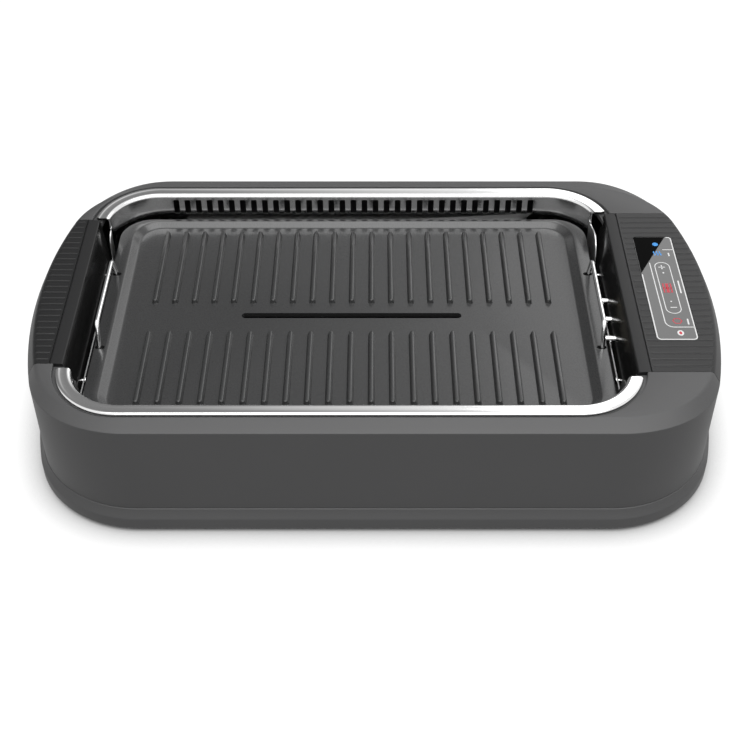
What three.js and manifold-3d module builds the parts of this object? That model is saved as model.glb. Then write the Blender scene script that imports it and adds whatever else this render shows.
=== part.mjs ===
// Smokeless indoor grill: a flat electric grill with a drop-in plate, a water tray and a fan.
// Millimetres, +Z up, +Y to the rear. The origin is under the middle of the body, on the table.
import * as THREE from "three";
import { mergeVertices } from "three/addons/utils/BufferGeometryUtils.js";
import Module from "manifold-3d";

const wasm = await Module();
wasm.setup();

// Clearances and overruns
const fit = 0.3;
const looseFit = 0.6;
const wideFit = 0.9;
const hairGap = 0.1;
const panelGap = 0.4;
const overrun = 20;
const weldDistance = 1e-3;

// Body shell
const bodyLength = 551;
const bodyDepth = 321.4;
const bodyHeight = 106;
const sideRadius = 450;
const cornerRadius = 88;
const shellWall = 3;
const creaseDrop = 3.7;
const slopeDepth = 13.7;
const shoulderHeight = 18;
const shoulderDepth = 10;
const wallFootHeight = 22;
const skirtTopHeight = 14.5;
const skirtFlare = 4.3;
const locatingLipHeight = 5;
const locatingLipWall = 2;
const cornerSteps = 6;
const sideSteps = 4;

// The shoulder is blended into the sloping deck edge between these normal angles, in radians.
const blendStart = THREE.MathUtils.degToRad(15);
const blendEnd = THREE.MathUtils.degToRad(50);

// Heights up the upright edge, ways along the slope, and the turn of the shoulder at each level
const edgeRiseShares = [0, 0.45, 0.82, 1, 1, 1];
const slopeShares = [0, 0, 0, 0, 0.36, 1];
const shoulderTurnShares = [0, 0.23, 0.46, 0.68, 0.86, 1];

// Base plate, feet and screws
const footPadHeight = 3;
const footPadRadius = 12;
const footStemRadius = 4;
const footHeadRadius = 5.5;
const footHeadHeight = 2;
const footSideInset = 70;
const footEndInset = 56;
const baseFloor = 3;
const screwShankRadius = 2;
const screwHeadRadius = 4;
const screwHeadHeight = 2.4;
const screwLength = 30;
const screwBossHalf = 6;
const screwBossInset = 9;
const screwBossRise = 9;
const screwBossHeight = 44;
const screwSideOffset = 115;

// Side blocks: the grip on the left and the control pod on the right
const podWidth = 76;
const gripWidth = 38.5;
const podEndInset = 58.7;
const gripEndInset = 68.2;
const blockCentreY = 3.7;
const blockDrop = 46;
const blockWall = 2.5;
const blockGap = 0.8;
const blockDraft = 5.5;
const stripWidth = 9.5;
const stripDrop = 4;
const grooveWidth = 1.4;
const grooveDepth = 1.5;
const ribPitch = 7.35;
const ribGrooveWidth = 0.9;
const ribGrooveDepth = 0.7;

// Liner: the bright pressed rim and the wall of the cooking well
const deckMargin = 16;
const rimReach = 11.9;
const rimCornerRadius = 53;
const rimDrop = 0.1;
const sheet = 1.2;
const curlHeight = 4.4;
const curlBulge = 0.6;
const deckGroove = 2.4;
const rimSeatWidth = 5.6;
const rimSeatThickness = 2.2;
const lowWallDrop = 38.5;
const sideGap = 7.5;
const rimRoll = 2.4;
const rollUnder = 3;
const rimUnder = 1.56;
const beadPeak = 1.8;
const beadWidth = 3;
const rimRearGap = 1.9;
const rimFrontGap = 5.5;
const podOgeeFlare = 26;
const gripOgeeFlare = 9;
const ventPitch = 9.82;
const ventWidth = 5.1;
const ventHeight = 14.4;
const ventDrop = 4.9;
const ventEndMargin = 50;
const plateLedgeReach = 13.3;
const plateLedgeHalfLength = 150;
const linerScrewRadius = 1.5;
const linerScrewHeadRadius = 3;
const linerScrewHead = 1.6;
const linerScrewReach = 5;
const linerScrewDrop = 2.3;
const linerScrewInset = 25;

// The ogee at the ends of the low side walls: shares of its flare and of the wall's height
const ogeeShares = [
  [0, 0],
  [0.04, 0.16],
  [0.11, 0.29],
  [0.26, 0.455],
  [0.57, 0.58],
  [0.85, 0.63],
  [1, 0.67],
];

// Grill plate
const plateGap = 6.8;
const plateCornerRadius = 27;
const flangeDrop = 20.5;
const flangeThickness = 4;
const flangeWidth = 12;
const lipWidth = 4;
const plateWall = 3.5;
const plateDraft = 6;
const plateFloorDrop = 4.5;
const plateFloor = 4;
const ribHeight = 4;
const ribBaseWidth = 5;
const ribTopWidth = 3;
const platePitch = 16.3;
const ribSideMargin = 18;
const ribWallGap = 8.5;
const ribRearStart = 14.5;
const ribFrontStart = 22.5;
const drainOffset = 2.5;
const drainWidth = 6.5;
const drainLength = 180;

// Wire handles of the plate
const wireRadius = 1.75;
const handleSlotLength = 7.6;
const handleSlotInset = 4.9;
const handleHalfSpan = 47;
const handleTopHalfSpan = 40;
const handleTopDrop = 1;
const handleFoot = 3;
const handleBend = 6;
const handleElbow = 1.9;
const handleLean = THREE.MathUtils.degToRad(1);

// Heating element and its contacts
const elementRadius = 4;
const elementSides = 6;
const elementSideInset = 41;
const elementInnerShare = 0.412;
const elementEndMargin = 34;
const elementTurnSteps = 6;
const elementLeadBend = 8;
const elementLeadSpread = 10;
const pinRadius = 2.5;
const pinDrop = 33;
const pinPitch = 24.2;
const pinOffset = 1.7;
const pinReach = 26;
const pinSeat = 14;
const prongWall = 1.5;
const prongLength = 11;
const contactBody = 6;
const clampWidth = 12;
const clampSheet = 1.5;
const clampPost = 6;
const clampShares = [-0.62, 0.48];

// Water tray and inner tub
const tubWall = 1.2;
const tubFlangeWidth = 9;
const tubDraft = 8;
const tubBottom = 33.5;
const tubShoulderShare = 0.61;
const linerTubGap = 3.3;
const trayWall = 1.5;
const trayRimWidth = 4;
const trayDraft = 9;
const trayTopDrop = 0.2;
const trayLedgeGap = 2.5;
const trayPinGap = 2.5;
const trayCornerRadius = 22;

// Touch panel and the boards under it
const panelInset = 19.3;
const panelWidth = 32.6;
const panelEndInset = 35.3;
const panelShift = 1.3;
const panelThickness = 1.1;
const panelCornerRadius = 4;
const windowMargin = 7;
const displayHeight = 6.4;
const displayMargin = 3;
const boardThickness = 1.6;
const boardMargin = 5;
const boardEndMargin = 10;
const boardPostRadius = 3;
const terminalDepth = 20;
const terminalHeight = 14;
const terminalMargin = 7;

// Power board and mains inlet
const powerBoardLift = 5.7;
const powerBoardWidth = 50;
const powerBoardHalfDepth = 50;
const powerBoardInset = 6;
const relaySize = 18;
const relayGap = 1.2;
const partHeightShare = 0.8;
const transformerSize = 26;
const inletX = 150;
const inletZ = 45;
const inletHalfWidth = 13.5;
const inletHalfHeight = 9.8;
const inletDepth = 17;
const inletFlange = 3;
const inletFlangeThickness = 2;
const inletSocketDepth = 14;
const inletSocketWall = 2.5;
const bladeWidth = 4;
const bladeThickness = 2;
const bladeLength = 10;
const bladeSpacing = 7;
const leadRadius = 1.6;
const leadBend = 3.2;
const leadInset = 15;
const inletLeadInset = 10;

// Fan, its scroll housing and the outlet grille
const fanX = -30;
const fanY = 66;
const scrollStartRadius = 50;
const scrollGrowth = 18;
const scrollWall = 1.8;
const scrollFloor = 1.5;
const scrollHeight = 21;
const scrollSteps = 20;
const tongueAngle = THREE.MathUtils.degToRad(50);
const outletSpread = 12;
const outletGap = 6;
const intakeRadius = 27;
const motorRadius = 17;
const motorHeight = 10;
const bearingRadius = 4;
const bearingHeight = 2;
const shaftRadius = 1.5;
const shaftSink = 6;
const shaftTop = 5;
const impellerRadius = 44;
const bladeChord = 10;
const bladeCount = 15;
const bladeTilt = THREE.MathUtils.degToRad(40);
const bladeSheet = 1.2;
const impellerWall = 1.5;
const shroudWidth = 3;
const impellerRunning = 1.6;
const impellerHeight = 16;
const hubRadius = 5;
const hubHeight = 2.6;
const grilleHeight = 8;
const grilleBarPitch = 7.5;
const grilleBarWidth = 2;
const grilleFrame = 1.5;
const postRadius = 5;
const postSpanX = 150;
const postSpanY = 90;

// Places that follow from the sizes above
const endX = bodyLength / 2;
const endY = bodyDepth / 2;
const podWallX = endX - podWidth;
const gripWallX = gripWidth - endX;
const wellX = (podWallX + gripWallX) / 2;
const wellHalfSpan = (podWallX - gripWallX) / 2;
const rimHalfDepth = endY - deckMargin;
const linerHalfDepth = rimHalfDepth - rimReach;
const linerHalfLength = wellHalfSpan - sideGap;
const rimHalfLength = linerHalfLength + rimReach;
const plateHalfLength = linerHalfLength - plateGap;
const plateHalfDepth = linerHalfDepth - plateGap;
const podHalfDepth = endY - podEndInset;
const gripHalfDepth = endY - gripEndInset;
const panelHalfLength = podHalfDepth - panelEndInset;
const linerScrewHalfSpan = gripHalfDepth - linerScrewInset;
const elementOuterSpan = plateHalfDepth - elementSideInset;
const elementInnerSpan = elementOuterSpan * elementInnerShare;
const blockBottom = bodyHeight - blockDrop;
const lowWallTop = bodyHeight - lowWallDrop;
const handleTop = bodyHeight - handleTopDrop;
const flangeTop = bodyHeight - flangeDrop;
const flangeUnderside = flangeTop - flangeThickness;
const plateFloorTop = flangeTop - plateFloorDrop;
const plateBottom = plateFloorTop - plateFloor;
const pinZ = bodyHeight - pinDrop;
const baseTop = footPadHeight + baseFloor;
const drainY = -drainOffset;
const pinY = blockCentreY - pinOffset;
const blockLean = blockDraft / (blockDrop - stripDrop);
const tubHalfLength = linerHalfLength + sheet + fit;
const tubHalfDepth = linerHalfDepth + sheet + fit;
const tubTop = blockBottom - fit;
const tubShoulderZ = tubBottom + (tubTop - tubBottom) * tubShoulderShare;
const linerBottom = tubShoulderZ + tubWall + linerTubGap;

// Solids from three.js geometry, and back
function toSolid(geometry) {
  const bare = geometry.index ? geometry.toNonIndexed() : geometry.clone();
  bare.deleteAttribute("normal");
  bare.deleteAttribute("uv");
  const merged = mergeVertices(bare, weldDistance);
  const corners = merged.index.array;
  const kept = [];
  for (let i = 0; i < corners.length; i += 3) {
    const [a, b, c] = [corners[i], corners[i + 1], corners[i + 2]];
    if (a !== b && b !== c && c !== a) kept.push(a, b, c);
  }
  const vertProperties = merged.attributes.position.array;
  const make = (list) =>
    new wasm.Manifold(new wasm.Mesh({ numProp: 3, vertProperties, triVerts: new Uint32Array(list) }));
  const solid = make(kept);
  return solid.volume() > 0 ? solid : make(kept.reverse());
}

function toGeometry(solid) {
  const { vertProperties, triVerts } = solid.getMesh();
  const geometry = new THREE.BufferGeometry();
  geometry.setAttribute("position", new THREE.BufferAttribute(new Float32Array(vertProperties), 3));
  geometry.setIndex(new THREE.BufferAttribute(new Uint32Array(triVerts), 1));
  geometry.computeVertexNormals();
  return geometry;
}

const join = (solids) => solids.reduce((whole, piece) => whole.add(piece));
const cut = (solid, tools) => tools.reduce((left, tool) => left.subtract(tool), solid);

// A block between two corners
function block(x0, x1, y0, y1, z0, z1) {
  const geometry = new THREE.BoxGeometry(x1 - x0, y1 - y0, z1 - z0);
  return toSolid(geometry.translate((x0 + x1) / 2, (y0 + y1) / 2, (z0 + z1) / 2));
}

// Prisms standing on a shape: upright, along X (shape in Y and Z) and along Y (shape in X and Z)
function extruded(shape, depth) {
  return new THREE.ExtrudeGeometry(shape, { depth, bevelEnabled: false, curveSegments: 4 });
}

const prism = (shape, z0, z1) => toSolid(extruded(shape, z1 - z0).translate(0, 0, z0));

function prismAlongX(shape, x0, x1) {
  const turn = new THREE.Matrix4().makeBasis(
    new THREE.Vector3(0, 1, 0),
    new THREE.Vector3(0, 0, 1),
    new THREE.Vector3(1, 0, 0),
  );
  return toSolid(extruded(shape, x1 - x0).applyMatrix4(turn).translate(x0, 0, 0));
}

function prismAlongY(shape, y0, y1) {
  return toSolid(extruded(shape, y1 - y0).rotateX(Math.PI / 2).translate(0, y1, 0));
}

// A rectangle with round corners
function roundedRectangle(x, y, halfX, halfY, radius) {
  const shape = new THREE.Shape();
  const [right, left] = [x + halfX - radius, x - halfX + radius];
  const [rear, front] = [y + halfY - radius, y - halfY + radius];
  shape.absarc(right, front, radius, -Math.PI / 2, 0);
  shape.absarc(right, rear, radius, 0, Math.PI / 2);
  shape.absarc(left, rear, radius, Math.PI / 2, Math.PI);
  shape.absarc(left, front, radius, Math.PI, (3 * Math.PI) / 2);
  return shape;
}

function polygon(points) {
  return new THREE.Shape(points.map(([x, y]) => new THREE.Vector2(x, y)));
}

// A turned piece: its profile is radius and height
function turned(profile, x, y, steps = 24) {
  const points = profile.map(([r, z]) => new THREE.Vector2(r, z));
  return toSolid(new THREE.LatheGeometry(points, steps).rotateX(Math.PI / 2).translate(x, y, 0));
}

function cylinder(x, y, radius, z0, z1, steps = 24) {
  const rounds = [[0, z0], [radius, z0], [radius, z1], [0, z1]];
  return turned(rounds, x, y, steps);
}

function cylinderAlongX(y, z, radius, x0, x1, steps = 12) {
  const geometry = new THREE.CylinderGeometry(radius, radius, x1 - x0, steps);
  return toSolid(geometry.rotateZ(Math.PI / 2).translate((x0 + x1) / 2, y, z));
}

// A skin of quads between rings of equal count, closed by a cap at each end or onto itself
function skin(rings, closed) {
  const count = rings[0].length;
  const corners = [];
  const levels = closed ? rings.length : rings.length - 1;
  for (let level = 0; level < levels; level += 1) {
    const lower = level * count;
    const upper = ((level + 1) % rings.length) * count;
    for (let i = 0; i < count; i += 1) {
      const next = (i + 1) % count;
      corners.push(lower + i, lower + next, upper + next, lower + i, upper + next, upper + i);
    }
  }
  if (!closed) {
    const flat = rings[0].map((point) => new THREE.Vector2(point.x, point.y));
    const last = (rings.length - 1) * count;
    for (const [a, b, c] of THREE.ShapeUtils.triangulateShape(flat, [])) {
      corners.push(a, c, b, last + a, last + b, last + c);
    }
  }
  const geometry = new THREE.BufferGeometry().setFromPoints(rings.flat());
  geometry.setIndex(corners);
  return toSolid(geometry);
}

// Outlines are lists of points with their outward normals, so that an offset stays true.
function arcPoints(x, y, radius, from, to, steps) {
  const points = [];
  for (let i = 0; i <= steps; i += 1) {
    const angle = from + ((to - from) * i) / steps;
    const normal = new THREE.Vector2(Math.cos(angle), Math.sin(angle));
    points.push({ x: x + radius * normal.x, y: y + radius * normal.y, normal });
  }
  return points;
}

function quarterTurned(points) {
  return points.map(({ x, y, normal }) => ({ x: -x, y: -y, normal: normal.clone().negate() }));
}

// The body's plan: straight front and rear, bowed ends and round corners, all tangent
function bodyOutline() {
  const cornerY = endY - cornerRadius;
  const sideX = endX - sideRadius;
  const cornerX = sideX + Math.sqrt((sideRadius - cornerRadius) ** 2 - cornerY ** 2);
  const meet = Math.atan2(cornerY, cornerX - sideX);
  const right = [
    ...arcPoints(cornerX, -cornerY, cornerRadius, -Math.PI / 2, -meet, cornerSteps),
    ...arcPoints(sideX, 0, sideRadius, -meet, meet, sideSteps).slice(1, -1),
    ...arcPoints(cornerX, cornerY, cornerRadius, meet, Math.PI / 2, cornerSteps),
  ];
  return [...right, ...quarterTurned(right)];
}

function rectangleOutline(x, y, halfX, halfY, radius, steps) {
  const [right, rear] = [halfX - radius, halfY - radius];
  const half = [
    ...arcPoints(right, -rear, radius, -Math.PI / 2, 0, steps),
    ...arcPoints(right, rear, radius, 0, Math.PI / 2, steps),
  ];
  const both = [...half, ...quarterTurned(half)];
  return both.map((point) => ({ ...point, x: x + point.x, y: y + point.y }));
}

function ringAt(outline, inset, z) {
  return outline.map(({ x, y, normal }) => new THREE.Vector3(x - inset * normal.x, y - inset * normal.y, z));
}

// A closed profile of insets and heights swept round an outline
const sweptRing = (outline, profile) => skin(profile.map(([inset, z]) => ringAt(outline, inset, z)), true);

// A pan-like solid: rectangles with round corners at rising heights
function stacked(x, y, levels, steps = 4) {
  const rings = levels.map(([halfX, halfY, radius, z]) =>
    ringAt(rectangleOutline(x, y, halfX, halfY, radius, steps), 0, z),
  );
  return skin(rings, false);
}

// A tube along a list of points, with mitred bends
class PointPath extends THREE.Curve {
  constructor(points) {
    super();
    this.points = points;
  }
  getPoint(t) {
    const place = t * (this.points.length - 1);
    const index = Math.min(Math.floor(place), this.points.length - 2);
    return this.points[index].clone().lerp(this.points[index + 1], place - index);
  }
  getPointAt(t) {
    return this.getPoint(t);
  }
  getTangentAt(t) {
    const index = Math.round(t * (this.points.length - 1));
    const here = this.points[index];
    const before = this.points[Math.max(index - 1, 0)];
    const after = this.points[Math.min(index + 1, this.points.length - 1)];
    const leaving = after.clone().sub(here).normalize();
    return here.clone().sub(before).normalize().add(leaving).normalize();
  }
}

function tube(points, radius, sides) {
  const section = new THREE.Shape();
  for (let i = 0; i < sides; i += 1) {
    const angle = (2 * Math.PI * i) / sides;
    const [x, y] = [radius * Math.cos(angle), radius * Math.sin(angle)];
    if (i === 0) section.moveTo(x, y);
    else section.lineTo(x, y);
  }
  const path = new PointPath(points);
  return toSolid(new THREE.ExtrudeGeometry(section, { steps: points.length - 1, extrudePath: path }));
}

// Straight runs between corners, each corner rounded by an arc-like bend
function bentPath(corners, bend, steps) {
  const points = [corners[0].clone()];
  for (let i = 1; i < corners.length - 1; i += 1) {
    const toBefore = corners[i - 1].clone().sub(corners[i]).normalize();
    const toAfter = corners[i + 1].clone().sub(corners[i]).normalize();
    const half = Math.acos(THREE.MathUtils.clamp(toBefore.dot(toAfter), -1, 1)) / 2;
    const reach = bend / Math.tan(half);
    const middle = toBefore.clone().add(toAfter).normalize();
    const centre = corners[i].clone().addScaledVector(middle, bend / Math.sin(half));
    const from = corners[i].clone().addScaledVector(toBefore, reach).sub(centre);
    const to = corners[i].clone().addScaledVector(toAfter, reach).sub(centre);
    const sweep = from.angleTo(to);
    for (let step = 0; step <= steps; step += 1) {
      const share = step / steps;
      const a = Math.sin((1 - share) * sweep) / Math.sin(sweep);
      const b = Math.sin(share * sweep) / Math.sin(sweep);
      points.push(centre.clone().addScaledVector(from, a).addScaledVector(to, b));
    }
  }
  points.push(corners.at(-1).clone());
  return points;
}

// The body's outer form, and the same form drawn in by a wall
function bodyForm(wall, bottom) {
  const outline = bodyOutline();
  const foot = bodyHeight - shoulderHeight;
  const rings = [ringAt(outline, wall, bottom)];
  edgeRiseShares.forEach((rise, level) => {
    const turn = (shoulderTurnShares[level] * Math.PI) / 2;
    const edgeInset = slopeShares[level] * slopeDepth;
    const edgeZ = foot + rise * (shoulderHeight - creaseDrop) + slopeShares[level] * creaseDrop;
    const shoulderInset = shoulderDepth * (1 - Math.cos(turn));
    const shoulderZ = foot + shoulderHeight * Math.sin(turn);
    const ring = outline.map((point) => {
      const angle = Math.acos(Math.min(Math.abs(point.normal.x), 1));
      const edge = THREE.MathUtils.smoothstep(angle, blendStart, blendEnd);
      const inset = THREE.MathUtils.lerp(shoulderInset, edgeInset, edge) + wall;
      const z = THREE.MathUtils.lerp(shoulderZ, edgeZ, edge) - wall;
      return new THREE.Vector3(point.x - inset * point.normal.x, point.y - inset * point.normal.y, z);
    });
    rings.push(ring);
  });
  return skin(rings, false);
}

const bodySolid = bodyForm(0, wallFootHeight + fit);

// The places of the two side blocks
const blocks = {
  pod: { side: 1, wallX: podWallX, halfDepth: podHalfDepth, flare: podOgeeFlare },
  grip: { side: -1, wallX: gripWallX, halfDepth: gripHalfDepth, flare: gripOgeeFlare },
};

// A range of X from a block's inner wall outwards, whichever side it is on
function outwards(side, from, to) {
  return side > 0 ? [from, to] : [to, from];
}

const rimOutline = (grow) =>
  rectangleOutline(wellX, 0, rimHalfLength + grow, rimHalfDepth + grow, rimCornerRadius + grow, cornerSteps);

function rimPrism(grow, z0, z1) {
  const outline = rimOutline(grow);
  return skin([ringAt(outline, 0, z0), ringAt(outline, 0, z1)], false);
}

// Upper housing: deck, walls, the seat of the rim and the screw bosses
function upperHousing() {
  const inside = bodyForm(shellWall, wallFootHeight - overrun);
  const seatTop = bodyHeight - rimDrop - curlHeight - fit;
  const seatBottom = seatTop - rimSeatThickness;
  const frame = rimPrism(deckGroove + shellWall, seatBottom, bodyHeight - shellWall + fit);
  let housing = join([cut(bodySolid, [inside]), frame]);
  housing = cut(housing, [
    rimPrism(deckGroove, seatTop, bodyHeight + overrun),
    rimPrism(-rimSeatWidth, seatBottom - overrun, bodyHeight),
  ]);
  for (const { side, halfDepth } of Object.values(blocks)) {
    const from = wellX + side * (rimHalfLength - rimSeatWidth - fit);
    const [x0, x1] = outwards(side, from, side * (endX + overrun));
    const [front, rear] = [blockCentreY - halfDepth - blockGap, blockCentreY + halfDepth + blockGap];
    housing = housing.subtract(block(x0, x1, front, rear, blockBottom - panelGap, bodyHeight + overrun));
  }
  const bosses = screwPlaces.map(([x, y]) => {
    const wallY = Math.sign(y) * (endY - shellWall / 2);
    const innerY = y - Math.sign(y) * screwBossHalf;
    const [y0, y1] = [Math.min(wallY, innerY), Math.max(wallY, innerY)];
    const from = screwWellTop + fit;
    const [x0, x1] = [x - screwBossHalf, x + screwBossHalf];
    const column = block(x0, x1, y - screwBossHalf, y + screwBossHalf, from, screwBossHeight);
    const web = block(x0, x1, y0, y1, wallFootHeight + fit, screwBossHeight);
    const hole = cylinder(x, y, screwShankRadius + fit, from - overrun, screwBossHeight - shellWall, 8);
    return [column.add(web), hole];
  });
  housing = join([housing, ...bosses.map(([boss]) => boss)]);
  housing = cut(housing, bosses.map(([, hole]) => hole));
  const inletHole = block(
    inletX - inletHalfWidth - fit,
    inletX + inletHalfWidth + fit,
    endY - overrun,
    endY + overrun,
    inletZ - inletHalfHeight - fit,
    inletZ + inletHalfHeight + fit,
  );
  return housing.subtract(inletHole);
}

const screwWellTop = baseTop + screwBossRise - baseFloor;
const screwY = endY - shellWall - screwBossInset;
function fourPlaces(x, spanX, spanY) {
  return [-1, 1].flatMap((sx) => [-1, 1].map((sy) => [x + sx * spanX, sy * spanY]));
}

const screwPlaces = fourPlaces(0, screwSideOffset, screwY);
const footPlaces = fourPlaces(0, endX - footSideInset, endY - footEndInset);
const postPlaces = fourPlaces(wellX, postSpanX, postSpanY);

// Power board place, in the room under the control pod
const powerBoardX0 = podWallX + powerBoardInset;
const powerBoardX1 = powerBoardX0 + powerBoardWidth;
const powerBoardZ = baseTop + powerBoardLift;

// Lower housing: skirt, ledge, locating lip, floor, posts and screw wells
function lowerHousing() {
  const outline = bodyOutline();
  const outside = [
    ringAt(outline, -skirtFlare, footPadHeight),
    ringAt(outline, -skirtFlare, skirtTopHeight),
    ringAt(outline, 0, wallFootHeight),
  ];
  const inside = [
    ringAt(outline, shellWall - skirtFlare, baseTop),
    ringAt(outline, shellWall - skirtFlare, skirtTopHeight - shellWall),
    ringAt(outline, shellWall + locatingLipWall, wallFootHeight - shellWall),
    ringAt(outline, shellWall + locatingLipWall, wallFootHeight + overrun),
  ];
  const lip = [
    ringAt(outline, shellWall + fit, wallFootHeight - shellWall),
    ringAt(outline, shellWall + fit, wallFootHeight + locatingLipHeight),
  ];
  let base = cut(join([skin(outside, false), skin(lip, false)]), [skin(inside, false)]);
  const from = footPadHeight + fit;
  const wells = screwPlaces.map(([x, y]) => cylinder(x, y, screwBossHalf, from, screwWellTop, 12));
  const posts = postPlaces.map(([x, y]) => cylinder(x, y, postRadius, from, tubBottom - fit, 10));
  const boardPosts = boardPostPlaces.map(([x, y]) =>
    cylinder(x, y, boardPostRadius, from, powerBoardZ - fit, 8),
  );
  base = join([base, ...wells, ...posts, ...boardPosts]);
  const lipNotches = screwPlaces.map(([x, y]) => {
    const half = screwBossHalf + panelGap;
    const outer = Math.sign(y) * (endY + overrun);
    const inner = y - Math.sign(y) * half;
    const [y0, y1] = [Math.min(outer, inner), Math.max(outer, inner)];
    return block(x - half, x + half, y0, y1, wallFootHeight, wallFootHeight + overrun);
  });
  const headDepth = screwHeadHeight + wideFit;
  const screwCuts = screwPlaces.flatMap(([x, y]) => [
    cylinder(x, y, screwHeadRadius + fit, footPadHeight - overrun, footPadHeight + headDepth, 12),
    cylinder(x, y, screwShankRadius + fit, footPadHeight - overrun, screwWellTop + overrun, 8),
  ]);
  const footCuts = footPlaces.map(([x, y]) =>
    cylinder(x, y, footStemRadius + fit, footPadHeight - overrun, baseTop + overrun, 12),
  );
  const outlet = block(
    outletX0 - fit,
    outletX1 + fit,
    endY - overrun,
    endY + overrun,
    baseTop - fit,
    baseTop + grilleHeight + fit,
  );
  return cut(base, [...lipNotches, ...screwCuts, ...footCuts, outlet]);
}

const boardPostPlaces = [powerBoardX0 + boardMargin, powerBoardX1 - boardMargin].flatMap((x) =>
  [-1, 1].map((sy) => [x, blockCentreY + sy * (powerBoardHalfDepth - boardMargin)]),
);

function foot([x, y]) {
  const top = baseTop + fit;
  const profile = [
    [0, 0],
    [footPadRadius, 0],
    [footPadRadius, footPadHeight - fit],
    [footStemRadius, footPadHeight - fit],
    [footStemRadius, top],
    [footHeadRadius, top],
    [footHeadRadius, top + footHeadHeight],
    [0, top + footHeadHeight],
  ];
  return turned(profile, x, y, 12);
}

function baseScrew([x, y]) {
  const headBottom = footPadHeight + looseFit;
  const headTop = headBottom + screwHeadHeight;
  const profile = [
    [0, headBottom],
    [screwHeadRadius, headBottom],
    [screwHeadRadius, headTop],
    [screwShankRadius, headTop],
    [screwShankRadius, headTop + screwLength],
    [0, headTop + screwLength],
  ];
  return turned(profile, x, y, 8);
}

// Liner: one pressed sheet, swept round the well, then cut down at its ends and slotted at the rear
function linerProfile() {
  const top = bodyHeight - rimDrop;
  const wallIn = rimReach;
  const wallOut = rimReach - sheet;
  return [
    [0, top - curlHeight],
    [0, top - sheet / 2],
    [curlBulge, top + curlBulge - fit],
    [beadPeak, top + curlBulge],
    [beadWidth, top],
    [wallOut - sheet, top],
    [wallOut, top - sheet / 2],
    [wallIn, top - rimRoll],
    [wallIn, linerBottom],
    [wallOut, linerBottom],
    [wallOut, top - rollUnder],
    [wallOut - sheet, top - rimUnder],
    [sheet, top - rimUnder],
    [sheet, top - curlHeight],
  ];
}

// The place of a cut in the liner's end wall, between the two ends of the block that stands behind it
function linerCut({ side, halfDepth, flare }) {
  const rear = blockCentreY + halfDepth + rimRearGap;
  const front = blockCentreY - halfDepth - rimFrontGap;
  const height = bodyHeight - lowWallTop;
  const ogee = (start, reach) =>
    ogeeShares.map(([out, rise]) => [start + reach * out, lowWallTop + rise * height]);
  const up = ogee(rear - flare, flare);
  const down = ogee(front + flare, -flare).reverse();
  const top = bodyHeight + overrun;
  const shape = polygon([...up, [rear, top], [front, top], ...down]);
  const from = wellX + side * (linerHalfLength - overrun);
  const [x0, x1] = outwards(side, from, wellX + side * (rimHalfLength + overrun));
  return prismAlongX(shape, x0, x1);
}

function ventCuts() {
  const half = ventWidth / 2;
  const top = bodyHeight - ventDrop;
  const [y0, y1] = [linerHalfDepth - sheet, linerHalfDepth + sheet + fit];
  const steps = Math.floor((linerHalfLength - ventEndMargin) / ventPitch);
  const cuts = [];
  for (let i = -steps; i <= steps; i += 1) {
    const x = wellX + i * ventPitch;
    cuts.push(block(x - half, x + half, y0, y1, top - ventHeight, top));
  }
  return cuts;
}

const linerScrewZ = lowWallTop - linerScrewDrop;

function linerScrewPlaces() {
  return Object.values(blocks).flatMap(({ side, wallX }) =>
    [-1, 1].map((sy) => ({ side, wallX, y: blockCentreY + sy * linerScrewHalfSpan })),
  );
}

function grillLiner() {
  const wall = sweptRing(rimOutline(0), linerProfile());
  const ledgeTop = plateBottom - fit;
  const ledges = [-1, 1].map((side) => {
    const near = side * (linerHalfDepth - plateLedgeReach);
    const far = side * (linerHalfDepth + sheet / 2);
    return block(
      wellX - plateLedgeHalfLength,
      wellX + plateLedgeHalfLength,
      Math.min(near, far),
      Math.max(near, far),
      ledgeTop - sheet,
      ledgeTop,
    );
  });
  const screwHoles = linerScrewPlaces().map(({ side, wallX, y }) => {
    const face = wallX - side * sideGap;
    const [x0, x1] = outwards(side, face - side * linerScrewReach, face + side * linerScrewReach);
    return cylinderAlongX(y, linerScrewZ, linerScrewRadius + fit, x0, x1, 8);
  });
  const linerCuts = Object.values(blocks).map(linerCut);
  return cut(join([wall, ...ledges]), [...linerCuts, ...ventCuts(), ...screwHoles]);
}

function linerScrew({ side, wallX, y }) {
  const face = wallX - side * (sideGap + fit);
  const [h0, h1] = outwards(side, face - side * linerScrewHead, face);
  const [s0, s1] = outwards(side, face - side * (linerScrewHead / 2), wallX + side * linerScrewReach);
  const head = cylinderAlongX(y, linerScrewZ, linerScrewHeadRadius, h0, h1, 12);
  return head.add(cylinderAlongX(y, linerScrewZ, linerScrewRadius, s0, s1, 8));
}

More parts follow.
